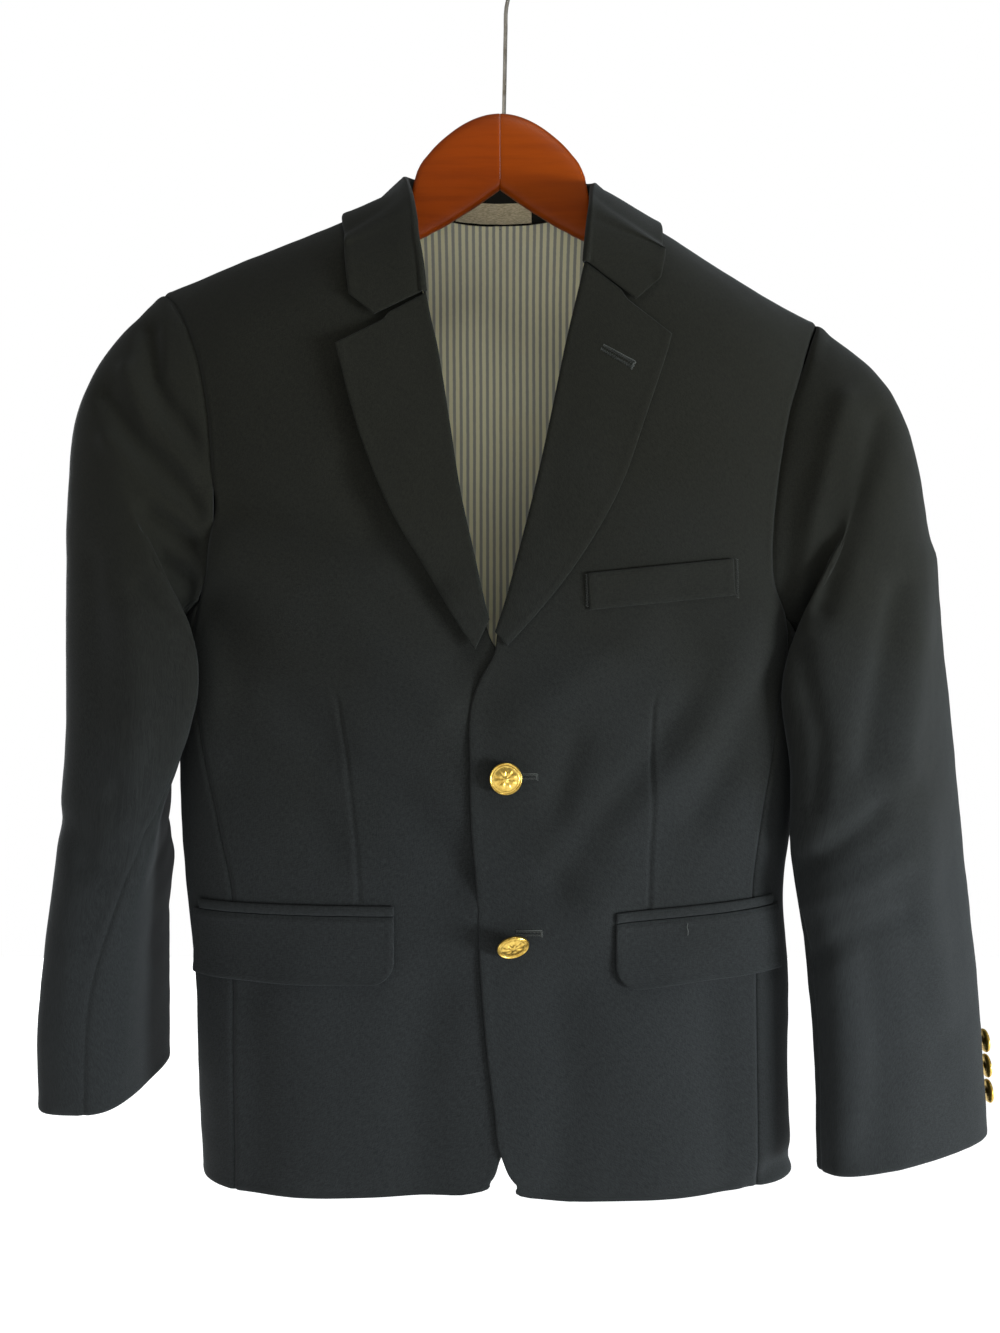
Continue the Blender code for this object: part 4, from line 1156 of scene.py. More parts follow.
# Creases given as a line of pixels, its half width in pixels, and its rise in millimetres.
def creased(place, marks, style, face=-1, flip=False):
    px, py = seen(place, face)
    total = np.zeros(px.shape)
    for line, width, rise in marks:
        route = np.array(line, float)
        if flip:
            route[:, 0] = cameraPlace["wide"] - route[:, 0]
        near = np.full(px.shape, 1e9)
        for (x1, y1), (x2, y2) in zip(route[:-1], route[1:]):
            long = (x2 - x1) ** 2 + (y2 - y1) ** 2
            part = np.clip(((px - x1) * (x2 - x1) + (py - y1) * (y2 - y1)) / long, 0, 1)
            near = np.minimum(near, np.hypot(px - x1 - part * (x2 - x1), py - y1 - part * (y2 - y1)))
        broad = width > narrowMark["upTo"]
        depth = style["depth"] if broad else narrowMark["depth"]
        total += depth * rise * ridge(near, 0, width * style["width"] if broad else width)
    return total


narrowMark = {"upTo": 5, "depth": 1.3}  # a dart's marks, which don't widen as a fold's do
bodyFolds = {"depth": 2.5, "width": 1.25}
sleeveFolds = {"depth": 2.6, "width": 1.0}
frontCreases = {
    right: (
        (((345, 470), (400, 560), (462, 650)), 14, -1.0),
        (((215, 505), (300, 523), (367, 541), (430, 585)), 15, -1.3),
        (((223, 552), (330, 598), (446, 706)), 19, 1.2),
        (((207, 612), (242, 700), (319, 742), (400, 800), (462, 868)), 19, -1.5),
        (((355, 848), (470, 905)), 26, 0.9),
        (((235, 770), (300, 800), (335, 850)), 14, -0.7),
        (((430, 1000), (414, 1080), (420, 1185)), 24, -1.2),
        (((300, 1000), (312, 1180)), 34, 0.9),
        (((250, 1000), (256, 1180)), 16, -0.7),
        (((338, 700), (344, 760), (351, 804), (357, 852), (359, 903)), 2.1, -0.75),
        (((334, 705), (340, 760), (347, 804), (353, 852), (355, 900)), 4, 0.2),
    ),
    left: (
        (((557, 812), (566, 775), (576, 744)), 12, -0.1),
        (((560, 878), (600, 820), (643, 772), (690, 702)), 16, -1.5),
        (((600, 905), (655, 800), (720, 700), (760, 615)), 22, 1.2),
        (((700, 815), (735, 745), (768, 680)), 15, -1.0),
        (((520, 720), (570, 680), (640, 640)), 18, 0.7),
        (((560, 1000), (570, 1080), (556, 1185)), 22, -1.0),
        (((640, 1010), (652, 1180)), 32, 1.0),
        (((715, 1000), (728, 1180)), 20, -1.1),
        (((752, 1192), (775, 1165), (797, 1150)), 7, -0.8),
        (((654, 703), (653, 760), (650, 850), (649, 909)), 2.1, -0.85),
        (((658, 705), (657, 760), (654, 850), (653, 907)), 4, 0.2),
    ),
}
backCreases = (
    (((300, 520), (400, 560), (498, 575)), 20, -1.0),
    (((240, 420), (330, 470), (430, 480)), 18, 0.8),
    (((600, 460), (700, 430), (770, 380)), 17, -0.9),
    (((520, 640), (620, 610), (740, 560)), 20, 1.0),
    (((250, 700), (340, 740), (440, 720)), 22, -1.0),
    (((570, 790), (680, 760), (760, 720)), 18, -0.9),
    (((320, 900), (330, 1180)), 26, 1.0),
    (((410, 960), (400, 1185)), 24, -1.1),
    (((600, 930), (612, 1180)), 26, -1.0),
    (((700, 900), (690, 1185)), 28, 1.0),
)
sleeveCreases = {
    right: (
        (((150, 330), (153, 381), (169, 410), (200, 440)), 10, -1.9),
        (((105, 394), (128, 432), (159, 464), (179, 486), (203, 512)), 11, -1.7),
        (((128, 372), (150, 428), (196, 474)), 10, 1.3),
        (((108, 440), (150, 492), (201, 530)), 10, 1.2),
        (((150, 513), (196, 545)), 8, -1.5),
        (((162, 561), (196, 588)), 8, -1.3),
        (((140, 590), (188, 640)), 10, -0.9),
        (((88, 560), (96, 700), (84, 860)), 17, -1.0),
        (((130, 620), (140, 720), (128, 820)), 16, 0.9),
        (((112, 800), (150, 842), (168, 862)), 11, -1.3),
        (((60, 820), (90, 862), (130, 880)), 13, -0.8),
        (((70, 960), (66, 1100)), 14, 0.8),
    ),
    left: (
        (((880, 420), (852, 520), (822, 605)), 15, -1.6),
        (((845, 400), (815, 510), (800, 590)), 13, 1.1),
        (((900, 590), (880, 680), (868, 760)), 15, -1.3),
        (((930, 560), (915, 660), (905, 770)), 15, 1.0),
        (((803, 866), (832, 850), (880, 815)), 11, -1.6),
        (((806, 905), (850, 890), (900, 862)), 13, 1.0),
        (((812, 960), (850, 935), (905, 915)), 12, -1.0),
        (((930, 800), (925, 900), (940, 1010)), 19, 1.1),
        (((872, 960), (884, 1060), (876, 1150)), 22, -1.2),
        (((800, 650), (820, 740), (815, 800)), 12, -1.0),
    ),
}


# How the body's creases and its unevenness raise a place of one side. A front's last two marks are its dart.
def relief(place, side, darts=True):
    ahead = creased(place, frontCreases[side][: None if darts else -2], bodyFolds)
    behind = creased(place, backCreases, bodyFolds, 1, True)
    rise = np.where(place[..., 1] < 0, ahead, behind)
    return rise + uneven(place, 60, 0.28, 3) + uneven(place, 17, 0.07, 12)


# Cloth lying on the body, with its creases laid in and its borders finished.
def panel(name, place, look, kinds, side):
    dip, thick = edged(place, kinds)
    push = dip + relief(place, side)
    outer = laid(place, push - clothThickness / 2 * (1 - thick), side)
    inner = laid(place, push - clothThickness / 2 * (1 + thick), side)
    wall(name, outer, inner, look)


def sideName(side, rest):
    return ("left" if side == left else "right") + rest


for side in (right, left):
    x, z = frontPlaces(side)
    kinds = {"near": "turned", "far": "seam", "top": "seam", "bottom": "turned"}
    panel(sideName(side, "Front"), onBody(x, z, -1), woolCloth, kinds, side)
    x, z = backPlaces(side)
    kinds = {"near": "seam", "far": "seam", "top": "seam", "bottom": "turned"}
    panel(sideName(side, "Back"), onBody(x, z, 1), woolCloth, kinds, right)
    turn, z = flankPlaces(side)
    kinds = {"near": "seam", "far": "seam", "top": "seam", "bottom": "turned"}
    panel(sideName(side, "SidePanel"), onFlank(side, turn, z), woolCloth, kinds, side)
print("body panels made")


# A sleeve is one tube with its two seams pressed in.
sleeveStyle = {
    "seamDip": 0.7,
    "seamWidth": 1.4,
    "seamRidge": 0.2,
    "near": (-1.5, -0.75, -0.5, -0.25, 0.25, 0.5, 0.75, 1.5),  # extra columns beside a seam
    "roping": 0.5,  # how far the sleeve head stands up past the armhole seam
    "ropingAt": 5,
    "ropingWidth": 3.5,
    "armholeDip": 0.8,
    "armholeWidth": 1.4,
    "cuffSwell": 0.25,
    "behindShare": 0.9,  # depth of the creases behind, against those in front
}


# Columns between those of a closed ring, on a smooth curve through them.
def between(grid, at):
    count = grid.shape[1]
    low = np.floor(at).astype(int)
    t = (at - low)[None, :, None]
    a, b, c, d = (grid[:, (low + k) % count] for k in (-1, 0, 1, 2))
    return b + 0.5 * t * (c - a + t * (2 * a - 5 * b + 4 * c - d + t * (3 * (b - c) + d - a)))


# The sleeve's grid without its repeated column, and with close columns round its two seams.
def finerSleeve(side):
    place, way = sleeveGrid(side)
    at = np.arange(place.shape[1] - 1.0)
    ahead, behind = sleeveSeams(side)
    extra = [column + off for column in (ahead, behind) for off in sleeveStyle["near"]]
    at = np.sort(np.concatenate([at, extra]))
    seams = [int(np.argmin(np.abs(at - column))) for column in (ahead, behind)]
    return between(place[:, :-1], at), unit(between(way[:, :-1], at)), seams


def makeSleeve(side):
    place, way, seams = finerSleeve(side)
    u, v = lengths(np.concatenate([place, place[:, :1]], axis=1))
    girth, u, v = u[:, -1:], u[:, :-1], v[:, :-1]
    push = uneven(place, 55, 0.35, 31 + side) + uneven(place, 16, 0.08, 41 + side)
    front = fade(-way[..., 1], -0.1, 0.5)
    rear = fade(way[..., 1], -0.1, 0.5) * sleeveStyle["behindShare"]
    push += creased(place, sleeveCreases[side], sleeveFolds) * front
    push += creased(place, sleeveCreases[-side], sleeveFolds, 1, True) * rear
    push *= fade(v, 0, 14)
    for column in seams:
        away = np.abs(u - u[:, column : column + 1])
        away = np.minimum(away, girth - away)
        pressed = np.exp(-((away / sleeveStyle["seamWidth"]) ** 1.5))
        push -= sleeveStyle["seamDip"] * pressed * fade(v, 0, 8)
        push += sleeveStyle["seamRidge"] * ridge(away, edgeStyle["ridgeAt"], edgeStyle["ridgeWidth"])
    roping = fade(way[0, :, 2], -0.2, 0.5)
    push += sleeveStyle["roping"] * ridge(v, sleeveStyle["ropingAt"], sleeveStyle["ropingWidth"]) * roping
    push -= sleeveStyle["armholeDip"] * np.exp(-((v / sleeveStyle["armholeWidth"]) ** 1.5))
    below = v[-1:] - v
    push += sleeveStyle["cuffSwell"] * ridge(below, edgeStyle["swellAt"], edgeStyle["swellWidth"])
    thick = 0.5 * clothThickness * turned(below, edgeStyle["rim"])
    middle = place + way * (push - clothThickness / 2)[..., None]
    outer, inner = middle + way * thick[..., None], middle - way * thick[..., None]
    wall(sideName(side, "Sleeve"), outer, inner, woolCloth, tube=True)
    return outer, way


sleeves = {side: makeSleeve(side) for side in (right, left)}
print("sleeves made")


# Smooths a polyline of (across, lift) control points into many.
def rounded(knots, count):
    knots = np.array(knots, float)
    known = np.concatenate([[0], np.cumsum(np.hypot(*np.diff(knots, axis=0).T))])
    at = np.linspace(0, known[-1], count)
    return np.stack([smooth(at, known, knots[:, k]) for k in range(2)], axis=-1)


# The turned edge of the roll line, outside and inside, as distances from the line and lifts off the front
lapelStyle = {
    "outside": ((0.0, -1.2), (0.0, 0.4), (0.5, 1.5), (1.8, 2.1)),
    "inside": ((1.4, -1.2), (1.4, 0.1), (1.6, 0.5), (2.2, 0.7)),
    "rows": 120,
    "columns": 46,
    "rollColumns": 14,
    "stand": {right: 5.0, left: 0.5},  # how far the lapel's edge stands off the front
    "belly": 0.9,
    "tuck": 2.4,  # how far the lapel's upper end runs in under the collar
    "swell": 0.22,
}


def makeLapel(side):
    rows = lapel[side]
    share = crowded(lapelStyle["rows"])
    value = {name: smooth(share, rows["share"], values) for name, values in rows.items()}
    roll = np.stack([side * value["rollAcross"], value["rollHeight"]], axis=-1)
    edge = np.stack([side * value["edgeAcross"], value["edgeHeight"]], axis=-1)
    width = np.linalg.norm(edge - roll, axis=-1)
    way = (edge - roll) / width[:, None]
    upRoll = unit(roll[0] - roll[12])
    rollColumns = lapelStyle["rollColumns"]
    grids = []
    for turnOver in (lapelStyle["outside"], lapelStyle["inside"]):
        start = rounded(turnOver, rollColumns)
        columns = [(np.full(len(share), across), np.full(len(share), lift)) for across, lift in start]
        first, lie = turnOver[-1]
        for part in crowded(lapelStyle["columns"], (1,), (0.02,), (5,))[1:]:
            across = first + (width - first) * part
            stand = lapelStyle["stand"][side] * part**2 * np.clip(width / 45, 0, 1)
            belly = lapelStyle["belly"] * math.sin(math.pi * part) * np.clip(width / 40, 0, 1)
            columns.append((across, lie + stand + belly * fade(share, 0, 0.1)))
        grid = []
        for across, lift in columns:
            tucked = lapelStyle["tuck"] * (1 - fade(across / width, 0.40, 0.5)) * (1 - fade(share, 0, 0.04))
            place = roll + way * across[:, None] + upRoll * tucked[:, None]
            on = onBody(place[:, 0], place[:, 1], -1)
            grid.append(laid(on, lift, side))
        grids.append(np.stack(grid, axis=1))
    outer, inner = grids
    u, v = lengths(outer)
    far = u[:, -1:] - u
    rim = np.minimum(np.minimum(far, v), v[-1:] - v)
    rim[:, :rollColumns] = 9
    full = turned(rim, edgeStyle["rim"])[..., None]
    middle = (outer + inner) / 2
    swell = lapelStyle["swell"] * ridge(far, edgeStyle["swellAt"], edgeStyle["swellWidth"])
    wave = uneven(outer, 45, 0.25, 51 + side) * fade(u, 3, 12)
    wave = wave + relief(outer, side, darts=False)
    out = outward(outer)[0] * (swell + wave)[..., None]
    outer, inner = middle + (outer - middle) * full + out, middle + (inner - middle) * full + out
    wall(sideName(side, "Lapel"), outer, inner, woolCloth)
    return outer


lapelFaces = {side: makeLapel(side) for side in (right, left)}
collarStyle = {"half": 0.75, "rim": 1.0, "swell": 0.2}


def makeCollar():
    halves = {side: collarHalf(side) for side in (right, left)}
    outer, inner = (np.concatenate([a[:0:-1], b]) for a, b in zip(halves[right], halves[left]))
    u, v = lengths(outer)
    far = u[:, -1:] - u
    rim = np.minimum(np.minimum(far, v), v[-1:] - v)
    full = turned(rim, collarStyle["rim"])[..., None]
    middle = (outer + inner) / 2
    way = unit(outer - inner)
    swell = collarStyle["swell"] * ridge(far, edgeStyle["swellAt"], edgeStyle["swellWidth"])
    wave = uneven(middle, 40, 0.25, 61) * fade(u, 8, 20) + swell
    middle = middle + way * wave[..., None]
    outer, inner = middle + way * collarStyle["half"] * full, middle - way * collarStyle["half"] * full
    wall("turnedCollar", outer, inner, woolCloth)


makeCollar()
print("collar and lapels made")

hipWeltStyle = {"columns": 90, "rows": 12, "lift": 0.3, "thickness": 1.5, "corner": 0, "stand": 0}
flapStyle = {"columns": 96, "rows": 44, "lift": 0.6, "thickness": 1.6, "corner": 13.0, "stand": 1.5}
breastWeltStyle = {"columns": 80, "rows": 24, "lift": 0.4, "thickness": 1.6, "corner": 0, "stand": 0}


# Cloth lying on a front: corners are inner top, outer top, outer bottom and inner bottom.
def strip(name, side, corners, style, kinds, seed=71):
    a, b, c, d = (np.array(place, float) for place in corners)
    across = (1 - np.cos(np.linspace(0, math.pi, style["columns"])))[None, :, None] / 2
    down = (1 - np.cos(np.linspace(0, math.pi, style["rows"])))[:, None, None] / 2
    place = (a + (b - a) * across) * (1 - down) + (d + (c - d) * across) * down
    if style["corner"]:
        above = np.linalg.norm(d - a) * (1 - down[..., 0])
        cut = np.clip(1 - above / style["corner"], 0, 0.995)
        place[..., 0] += style["corner"] * (1 - np.sqrt(1 - cut**2)) * (1 - across[..., 0]) ** 2
    on = onBody(side * place[..., 0], place[..., 1], -1)
    dip, thick = edged(on, kinds)
    rest = relief(on, side, darts=False) + uneven(on, 40, 0.12, seed)
    half = style["thickness"] / 2
    push = style["lift"] + rest + style["stand"] * down[..., 0] ** 2 + dip + half
    wall(name, laid(on, push + half * thick, side), laid(on, push - half * thick, side), woolCloth)


allTurned = {"near": "turned", "far": "turned", "top": "turned", "bottom": "turned"}
weltInset = 4  # how far the hip pocket's welt ends short of its flap
flapTuck = 0.5  # how far the flap starts below the welt
for side in (right, left):
    size = pocket[side]
    inner, outer = size["inner"], size["outer"]
    tops = size["innerTop"], size["outerTop"]
    low = [top - pocketWeltHeight for top in tops]
    weltOuter = outer - weltInset
    corners = ((inner, tops[0]), (weltOuter, tops[1]), (weltOuter, low[1]), (inner, low[0]))
    strip(sideName(side, "PocketWelt"), side, corners, hipWeltStyle, allTurned)
    top = [height - flapTuck for height in low]
    bottom = [height + pocketWeltHeight - size["drop"] for height in low]
    corners = ((inner, top[0]), (outer, top[1]), (outer, bottom[1]), (inner, bottom[0]))
    strip(sideName(side, "Flap"), side, corners, flapStyle, {**allTurned, "top": "seam"}, 75 + side)
size = breastWelt
corners = (
    (size["inner"], size["innerTop"]),
    (size["outer"], size["outerTop"]),
    (size["outer"] + 1, size["outerTop"] - size["height"]),
    (size["inner"] + 1, size["innerTop"] - size["height"]),
)
strip("breastWelt", left, corners, breastWeltStyle, allTurned)
print("pockets made")

# The buttons are turned domes with a rim, a corded ring and a plain rosette in low relief.
buttonStyle = {
    "around": 96,
    "rings": 34,
    "petals": 8,
    "cords": 44,
    "dome": 0.42,
    "boss": (0.24, 0.0, 0.14),  # height, place and width of a ridge, all as shares
    "leaf": (0.26, 0.43, 0.11),
    "leafSpread": 0.10,
    "vein": (-0.10, 0.43, 0.16),
    "ring": (0.16, 0.80, 0.035),
    "rim": (0.30, 0.94, 0.045),
}


def buttonHeight(r, angle):
    height, at, width = buttonStyle["leaf"]
    petals = np.abs(np.cos(buttonStyle["petals"] / 2 * angle)) ** 1.5
    leaf = height * petals * ridge(r, at, width + buttonStyle["leafSpread"] * petals)
    rings = {}
    for part in ("vein", "ring", "rim", "boss"):
        height, at, width = buttonStyle[part]
        rings[part] = height * ridge(r, at, width)
    corded = rings["ring"] * (0.65 + 0.35 * np.cos(buttonStyle["cords"] * angle))
    vein = rings["vein"] * petals**8
    return buttonStyle["dome"] * (1 - r**2) + rings["rim"] + corded + leaf + vein + rings["boss"]


def makeButton(name, size, place, axis, spin):
    axis = unit(np.array(axis, float))
    sideways = unit(np.cross(axis, (0.0, 0.3, 1.0)))
    upward = np.cross(sideways, axis)
    radius, height, shank = size["radius"], size["height"], size["shank"]
    angle = np.linspace(0, 2 * math.pi, buttonStyle["around"], endpoint=False)
    level = np.ones(len(angle))
    rim = shank + height * 0.45
    sections = [(0.17, level * 0.15), (0.17, level * shank * 0.5), (0.19, level * shank)]
    for share, part in ((0.5, 0.04), (0.8, 0.1), (0.95, 0.2)):
        sections.append((share, level * (shank + part * height)))
    sections += [(0.995, level * (rim - 0.2)), (1.0, level * rim)]
    for share in np.linspace(0.985, 0.02, buttonStyle["rings"]):
        sections.append((share, rim + height * 0.55 * buttonHeight(share, angle + spin) / 0.9))
    ring = np.outer(np.cos(angle), sideways) + np.outer(np.sin(angle), upward)
    grid = [np.array(place) + ring * share * radius + np.outer(lift, axis) for share, lift in sections]
    ringedSolid(name, np.array(grid), gilt)


for row, name in enumerate(("frontButtonUpper", "frontButtonLower")):
    x, z = frontButtons["across"][row], frontButtons["height"][row]
    on = laid(onBody(np.array([x]), np.array([z]), -1), np.zeros(1), left)[0]
    droop = math.radians(frontButtons["droop"][row])
    lean = math.radians(frontButtons["lean"][row])
    axis = (math.sin(lean), -math.cos(droop), -math.sin(droop))
    place = on - np.array((0, buttonHang * math.sin(droop), 0))
    makeButton(name, frontButton, place, axis, 0.3 + row)
for side in (right, left):
    outer, way = sleeves[side]
    for number in (1, 2, 3):
        low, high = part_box(("left" if side == left else "right") + f"_cuff_button_{number}")
        middle = (np.array(low) + np.array(high)) * 500 - np.array((0, 0, chestLevel))
        row, column = np.unravel_index(np.argmin(np.linalg.norm(outer - middle, axis=-1)), way.shape[:2])
        place = middle - way[row, column] * (cuffButton["shank"] + cuffButton["height"]) / 2
        makeButton(sideName(side, f"CuffButton{number}"), cuffButton, place, way[row, column], number)
print("buttons made")


# Places on a front that show at the photograph's pixels.
def onFront(pixels, side, lift):
    places = []
    for px, py in pixels:
        across, up = px - cameraPlace["wide"] / 2, cameraPlace["tall"] / 2 - py
        scale = cameraPlace["perPixel"]
        for _ in range(5):
            y = onBody(np.array([across * scale]), np.array([up * scale]), -1)[0, 1]
            scale = cameraPlace["perPixel"] * (cameraPlace["distance"] + y) / cameraPlace["frontPlane"]
        places.append((across * scale, up * scale))
    x, z = np.array(places).T
    on = onBody(x, z, -1)
    return laid(on, relief(on, side) + lift, side)


# Places on a grid's face that show at the photograph's pixels.
def onGrid(pixels, grid, lift):
    flat = grid.reshape(-1, 3)
    px, py = seen(flat)
    places = []
    for x, y in pixels:
        away = np.hypot(px - x, py - y)
        near = np.argsort(away)[:6]
        weight = 1 / (away[near] + 0.05) ** 2
        places.append(weight @ flat[near] / weight.sum())
    places = np.array(places)
    return places + outward(places)[0] * lift


# Stitches as one fine cord.
def makeCord(name, places, thick):
    curve = bpy.data.curves.new(name, "CURVE")
    curve.dimensions = "3D"
    spline = curve.splines.new("POLY")
    spline.points.add(len(places) - 1)
    for point, (x, y, z) in zip(spline.points, places):
        point.co = (x / 1000, y / 1000, (z + chestLevel) / 1000, 1)
    curve.bevel_depth = thick / 2000
    curve.bevel_resolution = 2
    curve.use_fill_caps = True
    curve.materials.append(thread)
    made[name] = bpy.data.objects.new(name, curve)
    bpy.context.scene.collection.objects.link(made[name])


# Both sides of a buttonhole from one end to the other, and a bar tack across its end.
def buttonhole(start, end, count, half):
    start, end = np.array(start, float), np.array(end, float)
    along = (end - start) / np.linalg.norm(end - start)
    across = np.array((-along[1], along[0]))
    route = []
    for way in (1, -1):
        steps = np.linspace(0, 1, count) if way > 0 else np.linspace(1, 0, count)
        for k, part in enumerate(steps):
            off = half * way if k % 2 else half * 0.25 * way
            route.append(start + (end - start) * part + across * off)
    for k, part in enumerate(np.linspace(-1.25, 1.25, 12)):
        route.append(end + along * (1.6 if k % 2 else -0.4) + across * half * part)
    return route


# Ends in the photograph's pixels, number of stitches and half width of each buttonhole
stitchStyle = {"thread": 0.42, "lift": 0.15, "tackThread": 0.3, "tackHalf": 1.2, "tackStitches": 40}
holes = {
    "buttonholeUpper": ((514, 776), (536, 776.5), 36, 2.6),
    "buttonholeLower": ((516, 932), (541, 932.5), 38, 2.6),
    "lapelButtonhole": ((602, 347), (633, 365), 60, 3.6),
}
for name, hole in holes.items():
    route = buttonhole(*hole)
    if name == "lapelButtonhole":
        places = onGrid(route, lapelFaces[left], stitchStyle["lift"])
    else:
        places = onFront(route, left, stitchStyle["lift"])
    makeCord(name, places, stitchStyle["thread"])

# Across, top and bottom of each end of the breast welt, and how far its stitches stand out
tacks = {"weltTackInner": (586.5, 575, 607, 1.4), "weltTackOuter": (737, 559, 598, 0.2)}
for name, (px, top, bottom, lift) in tacks.items():
    route = []
    for k, py in enumerate(np.linspace(top, bottom, stitchStyle["tackStitches"])):
        route.append((px + (stitchStyle["tackHalf"] if k % 2 else -stitchStyle["tackHalf"]), py))
    makeCord(name, onFront(route, left, lift), stitchStyle["tackThread"])
flapRoute = [(686, 922), (685.4, 926), (686.4, 930), (686, 934)]
makeCord("flapTack", onFront(flapRoute, left, 3.2), stitchStyle["tackThread"])
print("stitches made")

liningStyle = {
    "start": 0.2,  # how far down the shoulder's roll the lining starts
    "hemRows": 12,
    "sideColumns": 16,
    "under": 2.2,
    "thickness": 0.6,
    "pleat": 1.2,
    "pleatAt": -4.5,
    "pleatLean": 8,
    "rise": 2.4,  # how far the neck's edge runs up behind the label
    "seamEnd": 0.7,  # how far it clears the end of the back's seam
}


def makeBackLining():
    halves = []
    for side in (right, left):
        x, z = backPlaces(side, liningStyle["start"])
        halves.append(onBody(x, z, 1)[: -liningStyle["hemRows"], : -liningStyle["sideColumns"]])
    halves[0][:, 0, 0] = 0
    place = np.concatenate([halves[0][:, :0:-1], halves[1]], axis=1)
    below = lengths(place)[1]
    place[..., 2] += liningStyle["rise"] * fade(below, 12, 0) * fade(np.abs(place[..., 0]), 62, 52)
    x, z = place[..., 0], place[..., 2]
    fall = x - liningStyle["pleatAt"] + fade(-z, -290, -60) * liningStyle["pleatLean"]
    push = liningStyle["pleat"] * (fade(fall, -1.2, 1.2) - 0.5) * ridge(fall, 0, 26)
    push = push - clothThickness - liningStyle["under"]
    push = push - liningStyle["seamEnd"] * ridge(x, 0, 3) * ridge(z, 277, 5)
    push = push + relief(place, right) + uneven(place, 70, 0.2, 91) * fade(z, 275, 250)
    wall("backLining", laid(place, push), laid(place, push - liningStyle["thickness"]), liningCloth)


makeBackLining()

labelStyle = {
    "right": -28.0,
    "left": 20.0,
    "low": 280.6,
    "high": 295.4,
    "columns": 70,
    "rows": 26,
    "thickness": 0.5,
    "proud": 0.25,
    "stitched": 0.25,  # the puff beside its stitched edge
    "hang": 0.6,  # how far its lower edge stands off over the lining
}


# A surface through the label's solid, as a sum of simple terms.
def labelTerms(x, z):
    return np.stack([np.ones(x.shape), x, x**2, x**3, z, x * z], axis=-1)


# A bare woven label on the collar's stand, over the lining's upper edge.
def makeNeckLabel():
    known = np.array([v.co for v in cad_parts["neck_label"].data.vertices]) * 1000
    known = known - np.array((0, 0, chestLevel))
    fit = np.linalg.lstsq(labelTerms(known[:, 0], known[:, 2]), known[:, 1], rcond=None)[0]
    across = np.linspace(labelStyle["right"], labelStyle["left"], labelStyle["columns"])
    x, z = np.meshgrid(across, np.linspace(labelStyle["high"], labelStyle["low"], labelStyle["rows"]))
    y = labelTerms(x, z) @ fit - labelStyle["proud"]
    place = points(x, y, z)
    u, v = lengths(place)
    rim = np.minimum(np.minimum(u, u[:, -1:] - u), np.minimum(v, v[-1:] - v))
    puff = labelStyle["stitched"] * ridge(rim, 1.4, 0.5) - uneven(place, 14, 0.25, 95)
    puff = puff + fade(z, 284, 281) * labelStyle["hang"]
    half = labelStyle["thickness"] / 2 * turned(rim, 0.6, 0.95)
    wall("neckLabel", points(x, y - puff - half, z), points(x, y - puff + half, z), labelCloth)


makeNeckLabel()

hangerStyle = {
    "along": 90,
    "around": 28,
    "square": 3.2,  # exponent of an arm's section, 2 for an ellipse
    "groove": 0.35,
    "endLength": 5.5,
    "endWidth": 0.35,
    "startColumns": (0.02, 0.5, 1.2),
    "endColumns": (4, 2.4, 1.2, 0.5, 0.1),  # distances from the arm's end
}


def makeArm(side, look):
    length = armLength[side]
    along = np.linspace(2.2, length - 6, hangerStyle["along"])
    x = np.concatenate([hangerStyle["startColumns"], along, length - np.array(hangerStyle["endColumns"])])
    top = topOfArm(side, x)
    tall = smooth(x, armHeight["across"], armHeight["height"])
    middle = top - tall / 2
    end = turned(length - x, hangerStyle["endLength"], 0.99)
    pull = hangerStyle["groove"] * np.exp(-x / 0.6)
    angle = np.linspace(0, 2 * math.pi, hangerStyle["around"], endpoint=False)
    power = 2 / hangerStyle["square"]
    ring = [np.sign(turn) * np.abs(turn) ** power for turn in (np.cos(angle), np.sin(angle))]
    least = hangerStyle["endWidth"]
    halfY = (armThickness / 2 - pull) * (least + (1 - least) * end)
    halfZ = (tall / 2 - pull) * end**0.5
    sections = []
    for k, across in enumerate(x):
        sections.append(points(side * across, ring[0] * halfY[k], middle[k] + ring[1] * halfZ[k]))
    ringedSolid(sideName(side, "HangerArm"), np.array(sections), look)


# The right arm takes the wood's painted-shade copy, the left arm its painted-light copy
makeArm(right, shadedRightWood)
makeArm(left, litLeftWood)
print("hanger made")

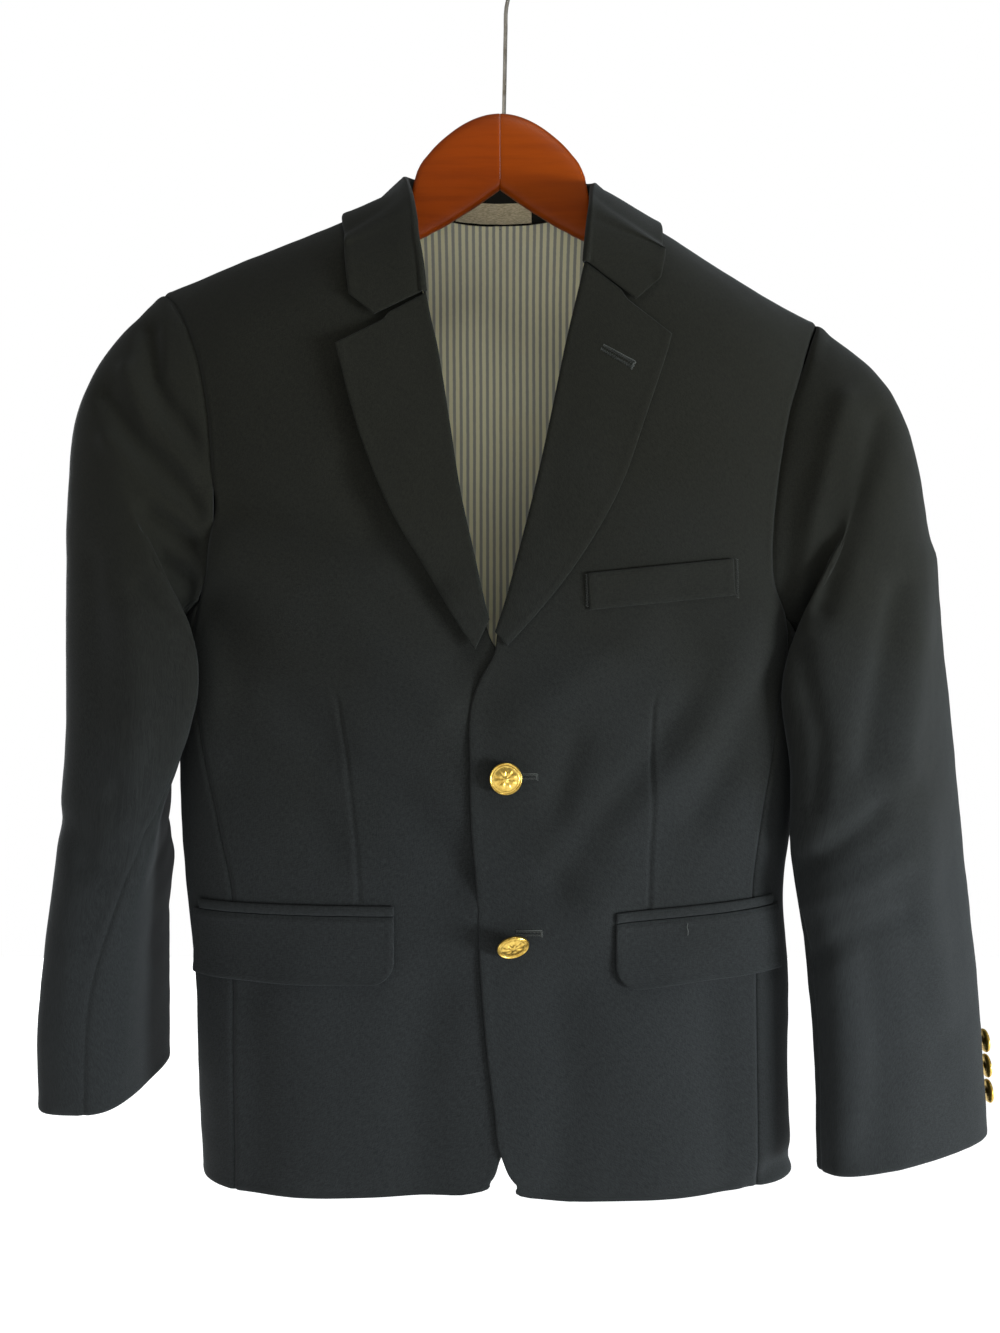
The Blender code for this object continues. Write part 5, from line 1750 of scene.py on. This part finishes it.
# The cut of each sheet of cloth in metres, the nodes that it stands for and what carries it.
cuts = {
    "rightFront": ((0.24, 0.62), 0.0955, ["right_front"], ["hanger_right_arm"]),
    "leftFront": ((0.24, 0.62), 0.0885, ["left_front"], ["hanger_left_arm"]),
    "rightBack": ((0.22, 0.62), 0.0965, ["right_back"], ["hanger_right_arm"]),
    "leftBack": ((0.22, 0.62), 0.0924, ["left_back"], ["hanger_left_arm"]),
    "rightSidePanel": ((0.11, 0.36), 0.0367, ["right_side_panel"], ["right_front", "right_back"]),
    "leftSidePanel": ((0.11, 0.36), 0.0323, ["left_side_panel"], ["left_front", "left_back"]),
    "rightSleeve": (
        (0.30, 0.50),
        0.1275,
        ["right_top_sleeve", "right_under_sleeve"],
        ["right_front", "right_back"],
    ),
    "leftSleeve": (
        (0.30, 0.50),
        0.1414,
        ["left_top_sleeve", "left_under_sleeve"],
        ["left_front", "left_back"],
    ),
    "rightLapel": ((0.10, 0.24), 0.0079, ["right_lapel"], ["right_front"]),
    "leftLapel": ((0.10, 0.25), 0.0091, ["left_lapel"], ["left_front"]),
    "turnedCollar": (
        (0.40, 0.08),
        0.0229,
        ["collar"],
        ["left_back", "right_back", "left_front", "right_front"],
    ),
    "rightPocketWelt": ((0.12, 0.012), 0.00075, ["right_pocket_welt"], ["right_front"]),
    "leftPocketWelt": ((0.1, 0.012), 0.00062, ["left_pocket_welt"], ["left_front"]),
    "rightFlap": ((0.13, 0.042), 0.0049, ["right_flap"], ["right_front"]),
    "leftFlap": ((0.115, 0.042), 0.0039, ["left_flap"], ["left_front"]),
    "breastWelt": ((0.086, 0.021), None, ["breast_welt"], ["left_front"]),
    "backLining": ((0.37, 0.56), 0.155, ["back_lining"], ["left_back", "right_back"]),
    "neckLabel": ((0.05, 0.016), None, ["neck_label"], ["collar"]),
}
for name, (flat, area, nodes, rests) in cuts.items():
    piece = made[name]
    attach(piece, "root")
    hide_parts(*nodes)
others = {
    "frontButtonUpper": "front_button_upper",
    "frontButtonLower": "front_button_lower",
    "rightHangerArm": "hanger_right_arm",
    "leftHangerArm": "hanger_left_arm",
}
for number in (1, 2, 3):
    others[f"rightCuffButton{number}"] = f"right_cuff_button_{number}"
    others[f"leftCuffButton{number}"] = f"left_cuff_button_{number}"
for name, node in others.items():
    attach(made[name], "root")
    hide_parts(node)
for name in (*holes, *tacks, "flapTack"):
    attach(made[name], "root")
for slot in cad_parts["hanger_hook"].material_slots:
    slot.material = steel

# Plain floor, white surroundings, a cool window light from the right and a weak warm one from the left.
studio = {
    "floor": -0.95,
    "floorTone": 0.9,
    "floorGlow": 0.62,
    "sideways": 6,
    "forward": -6,
    "back": 1.2,
    "ambient": 0.27,
}
# Where each lamp stands, the height that it looks at in the middle, its size, its power and its colour
lamps = {
    "window": ((1.5, -0.85, -0.88), -0.6, 0.6, 52.0, (0.92, 0.97, 1.0)),
    "lamp": ((-1.0, -1.1, 0.35), -0.35, 0.6, 1.5, (1.0, 0.95, 0.82)),
    "backWindow": ((-1.2, 1.5, -0.1), -0.45, 0.9, 22.0, (0.95, 0.98, 1.0)),
    "ceiling": ((0.35, -0.75, 1.0), -0.4, 0.6, 5.0, (1.0, 0.97, 0.90)),
}
white = rgb(1.0, 1.0, 1.0)
floorTone = rgb(*[studio["floorTone"]] * 3)
floorLook = Finish("paleFloor")
floorLook.set(Base_Color=floorTone, Roughness=0.9)
floorLook.set(Emission_Color=white, Emission_Strength=studio["floorGlow"])
floorMesh = bpy.data.meshes.new("floor")
sideways, forward, backward = studio["sideways"], studio["forward"], studio["back"]
corners = [(-sideways, forward, 0), (sideways, forward, 0), (sideways, backward, 0), (-sideways, backward, 0)]
floorMesh.from_pydata(corners, [], [(0, 1, 2, 3)])
floorMesh.materials.append(floorLook.material)
floor = bpy.data.objects.new("floor", floorMesh)
floor.location.z = studio["floor"]
bpy.context.scene.collection.objects.link(floor)


def makeLight(name, place, aim, size, power, colour):
    data = bpy.data.lights.new(name, "AREA")
    data.shape = "DISK"
    data.size = size
    data.energy = power
    data.color = colour
    obj = bpy.data.objects.new(name, data)
    obj.location = place
    obj.rotation_euler = (Vector((0, 0, aim)) - Vector(place)).to_track_quat("-Z", "Y").to_euler()
    bpy.context.scene.collection.objects.link(obj)


for name, settings in lamps.items():
    makeLight(name, *settings)
world = bpy.data.worlds.new("studio")
bpy.context.scene.world = world
world.use_nodes = True
tree = world.node_tree
background = tree.nodes["Background"]
background.inputs[0].default_value = white
path = tree.nodes.new("ShaderNodeLightPath")
strength = tree.nodes.new("ShaderNodeMapRange")
strength.inputs["To Min"].default_value = studio["ambient"]
strength.inputs["To Max"].default_value = 1.0
tree.links.new(path.outputs["Is Camera Ray"], strength.inputs["Value"])
tree.links.new(strength.outputs[0], background.inputs[1])
bpy.context.scene.view_settings.view_transform = "Standard"
print("studio made")
